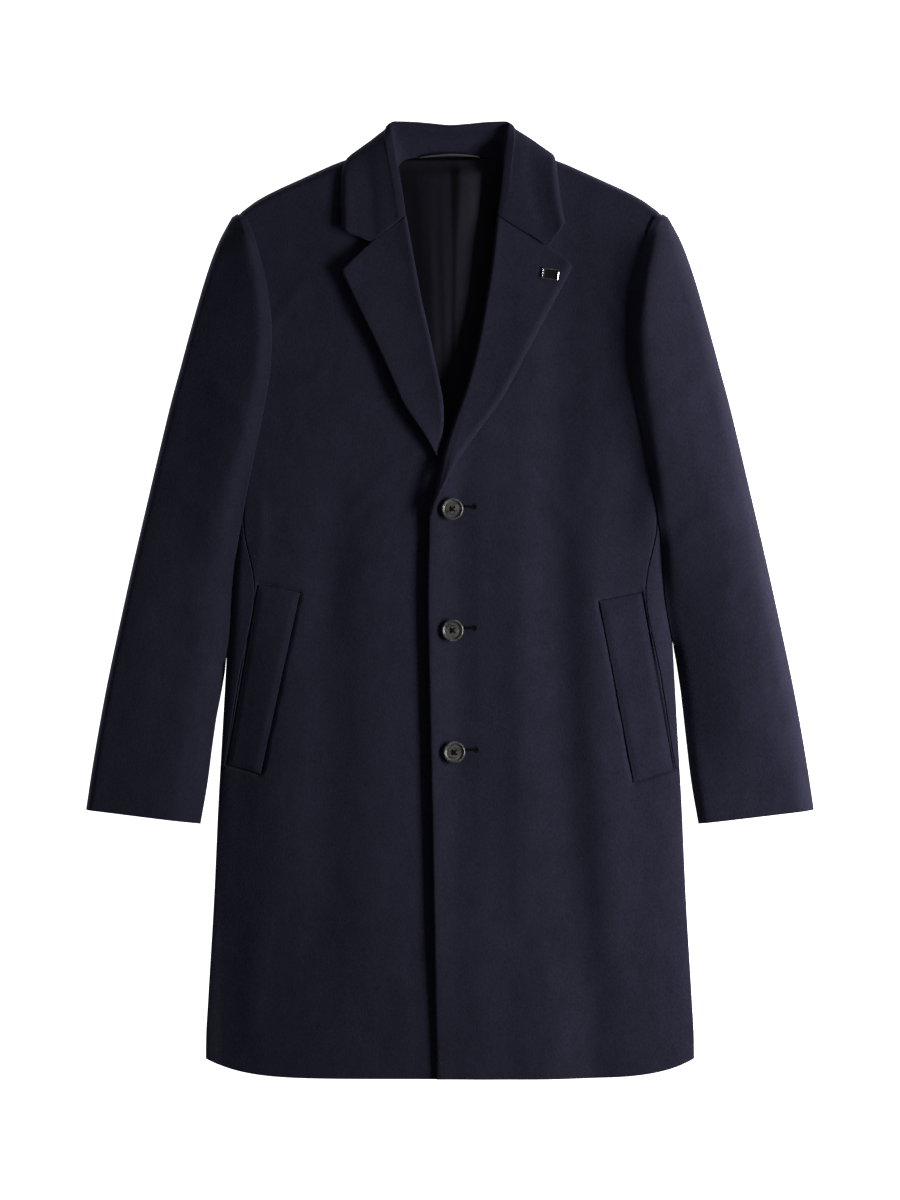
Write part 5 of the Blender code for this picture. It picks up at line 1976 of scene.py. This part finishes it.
@dataclass
class Studio:
    """White lit table, soft key light from the right, and the camera straight above, in metres."""

    frame_tall: float = 1.26
    camera_height: float = 4.6
    camera_far: float = 100.0
    sensor: float = 36.0
    lamps: tuple = (
        Lamp("key", 28.2, (1.20, -0.04, 0.70), (0.9, 0.32), (0.0, 0.0, 0.0), (1.0, 0.985, 0.97)),
        Lamp("strip", 0.6, (0.15, 1.6, 1.0), (0.36, 0.05), (0.0, 0.3, 0.0)),
    )
    surround: tuple = (0.96, 0.98, 1.0, 1.0)
    surround_strength: float = 0.10
    table_half: float = 6.0
    table_level: float = -0.0006
    table_grey: tuple = (0.8, 0.8, 0.8, 1.0)
    table_roughness: float = 0.9
    table_glow: tuple = (1.0, 1.0, 1.0, 1.0)
    table_glow_strength: float = 1.50

    def build_camera(self) -> None:
        """Looks straight down with a long lens."""
        data = bpy.data.cameras.new("overhead")
        data.sensor_width = self.sensor
        data.lens = self.sensor * self.camera_height / self.frame_tall
        data.clip_end = self.camera_far
        camera = bpy.data.objects.new("overhead", data)
        camera.location = (0.0, 0.0, self.camera_height)
        bpy.context.scene.collection.objects.link(camera)
        bpy.context.scene.camera = camera

    def build_lamps(self) -> None:
        """Adds the key light, and a narrow one beyond the collar for the gloss of the small fittings."""
        for lamp in self.lamps:
            data = bpy.data.lights.new(lamp.name, "AREA")
            data.shape = "RECTANGLE"
            data.size, data.size_y = lamp.size
            data.energy = lamp.watts
            data.color = lamp.colour
            light = bpy.data.objects.new(lamp.name, data)
            light.location = lamp.place
            aim = mathutils.Vector(lamp.aim) - light.location
            light.rotation_euler = aim.to_track_quat("-Z", "Y").to_euler()
            bpy.context.scene.collection.objects.link(light)

    def build_surround(self) -> None:
        """Adds an even surround, and keeps colours as they are."""
        world = bpy.data.worlds.new("surround")
        world.use_nodes = True
        back = world.node_tree.nodes["Background"]
        back.inputs["Color"].default_value = self.surround
        back.inputs["Strength"].default_value = self.surround_strength
        bpy.context.scene.world = world
        bpy.context.scene.view_settings.view_transform = "Standard"

    def build_table(self) -> None:
        """Adds the pale lit table top that the coat lies on."""
        corners = ((-1, -1), (1, -1), (1, 1), (-1, 1))
        points = [(x * self.table_half, y * self.table_half, self.table_level) for x, y in corners]
        tree = NodeTree("white_table")
        tree.values({
            "Base Color": self.table_grey,
            "Roughness": self.table_roughness,
            "Emission Color": self.table_glow,
            "Emission Strength": self.table_glow_strength,
        })
        table = Maker.mesh_object("table_top", np.array(points) / MM, [(0, 1, 2, 3)], tree.material)

    def build(self) -> None:
        """Sets up the camera, the light and the table."""
        self.build_camera()
        self.build_lamps()
        self.build_surround()
        self.build_table()


def main() -> None:
    """Builds the studio and every piece of the coat."""
    Studio().build()
    finishes = Finishes()
    form = CoatForm()
    CoatBody(form, finishes).build()
    Sleeves(form, finishes).build()
    grids = Lapels(form, finishes).build()
    Collar(finishes).build()
    NeckLining(finishes).build()
    Buttons(form, finishes).build()
    Buttonholes(form, finishes).build()
    fittings = Fittings(finishes)
    fittings.build_pin(grids[Side.LEFT])
    fittings.build_loop()
    bpy.context.view_layer.update()


if __name__ == "__main__":
    main()
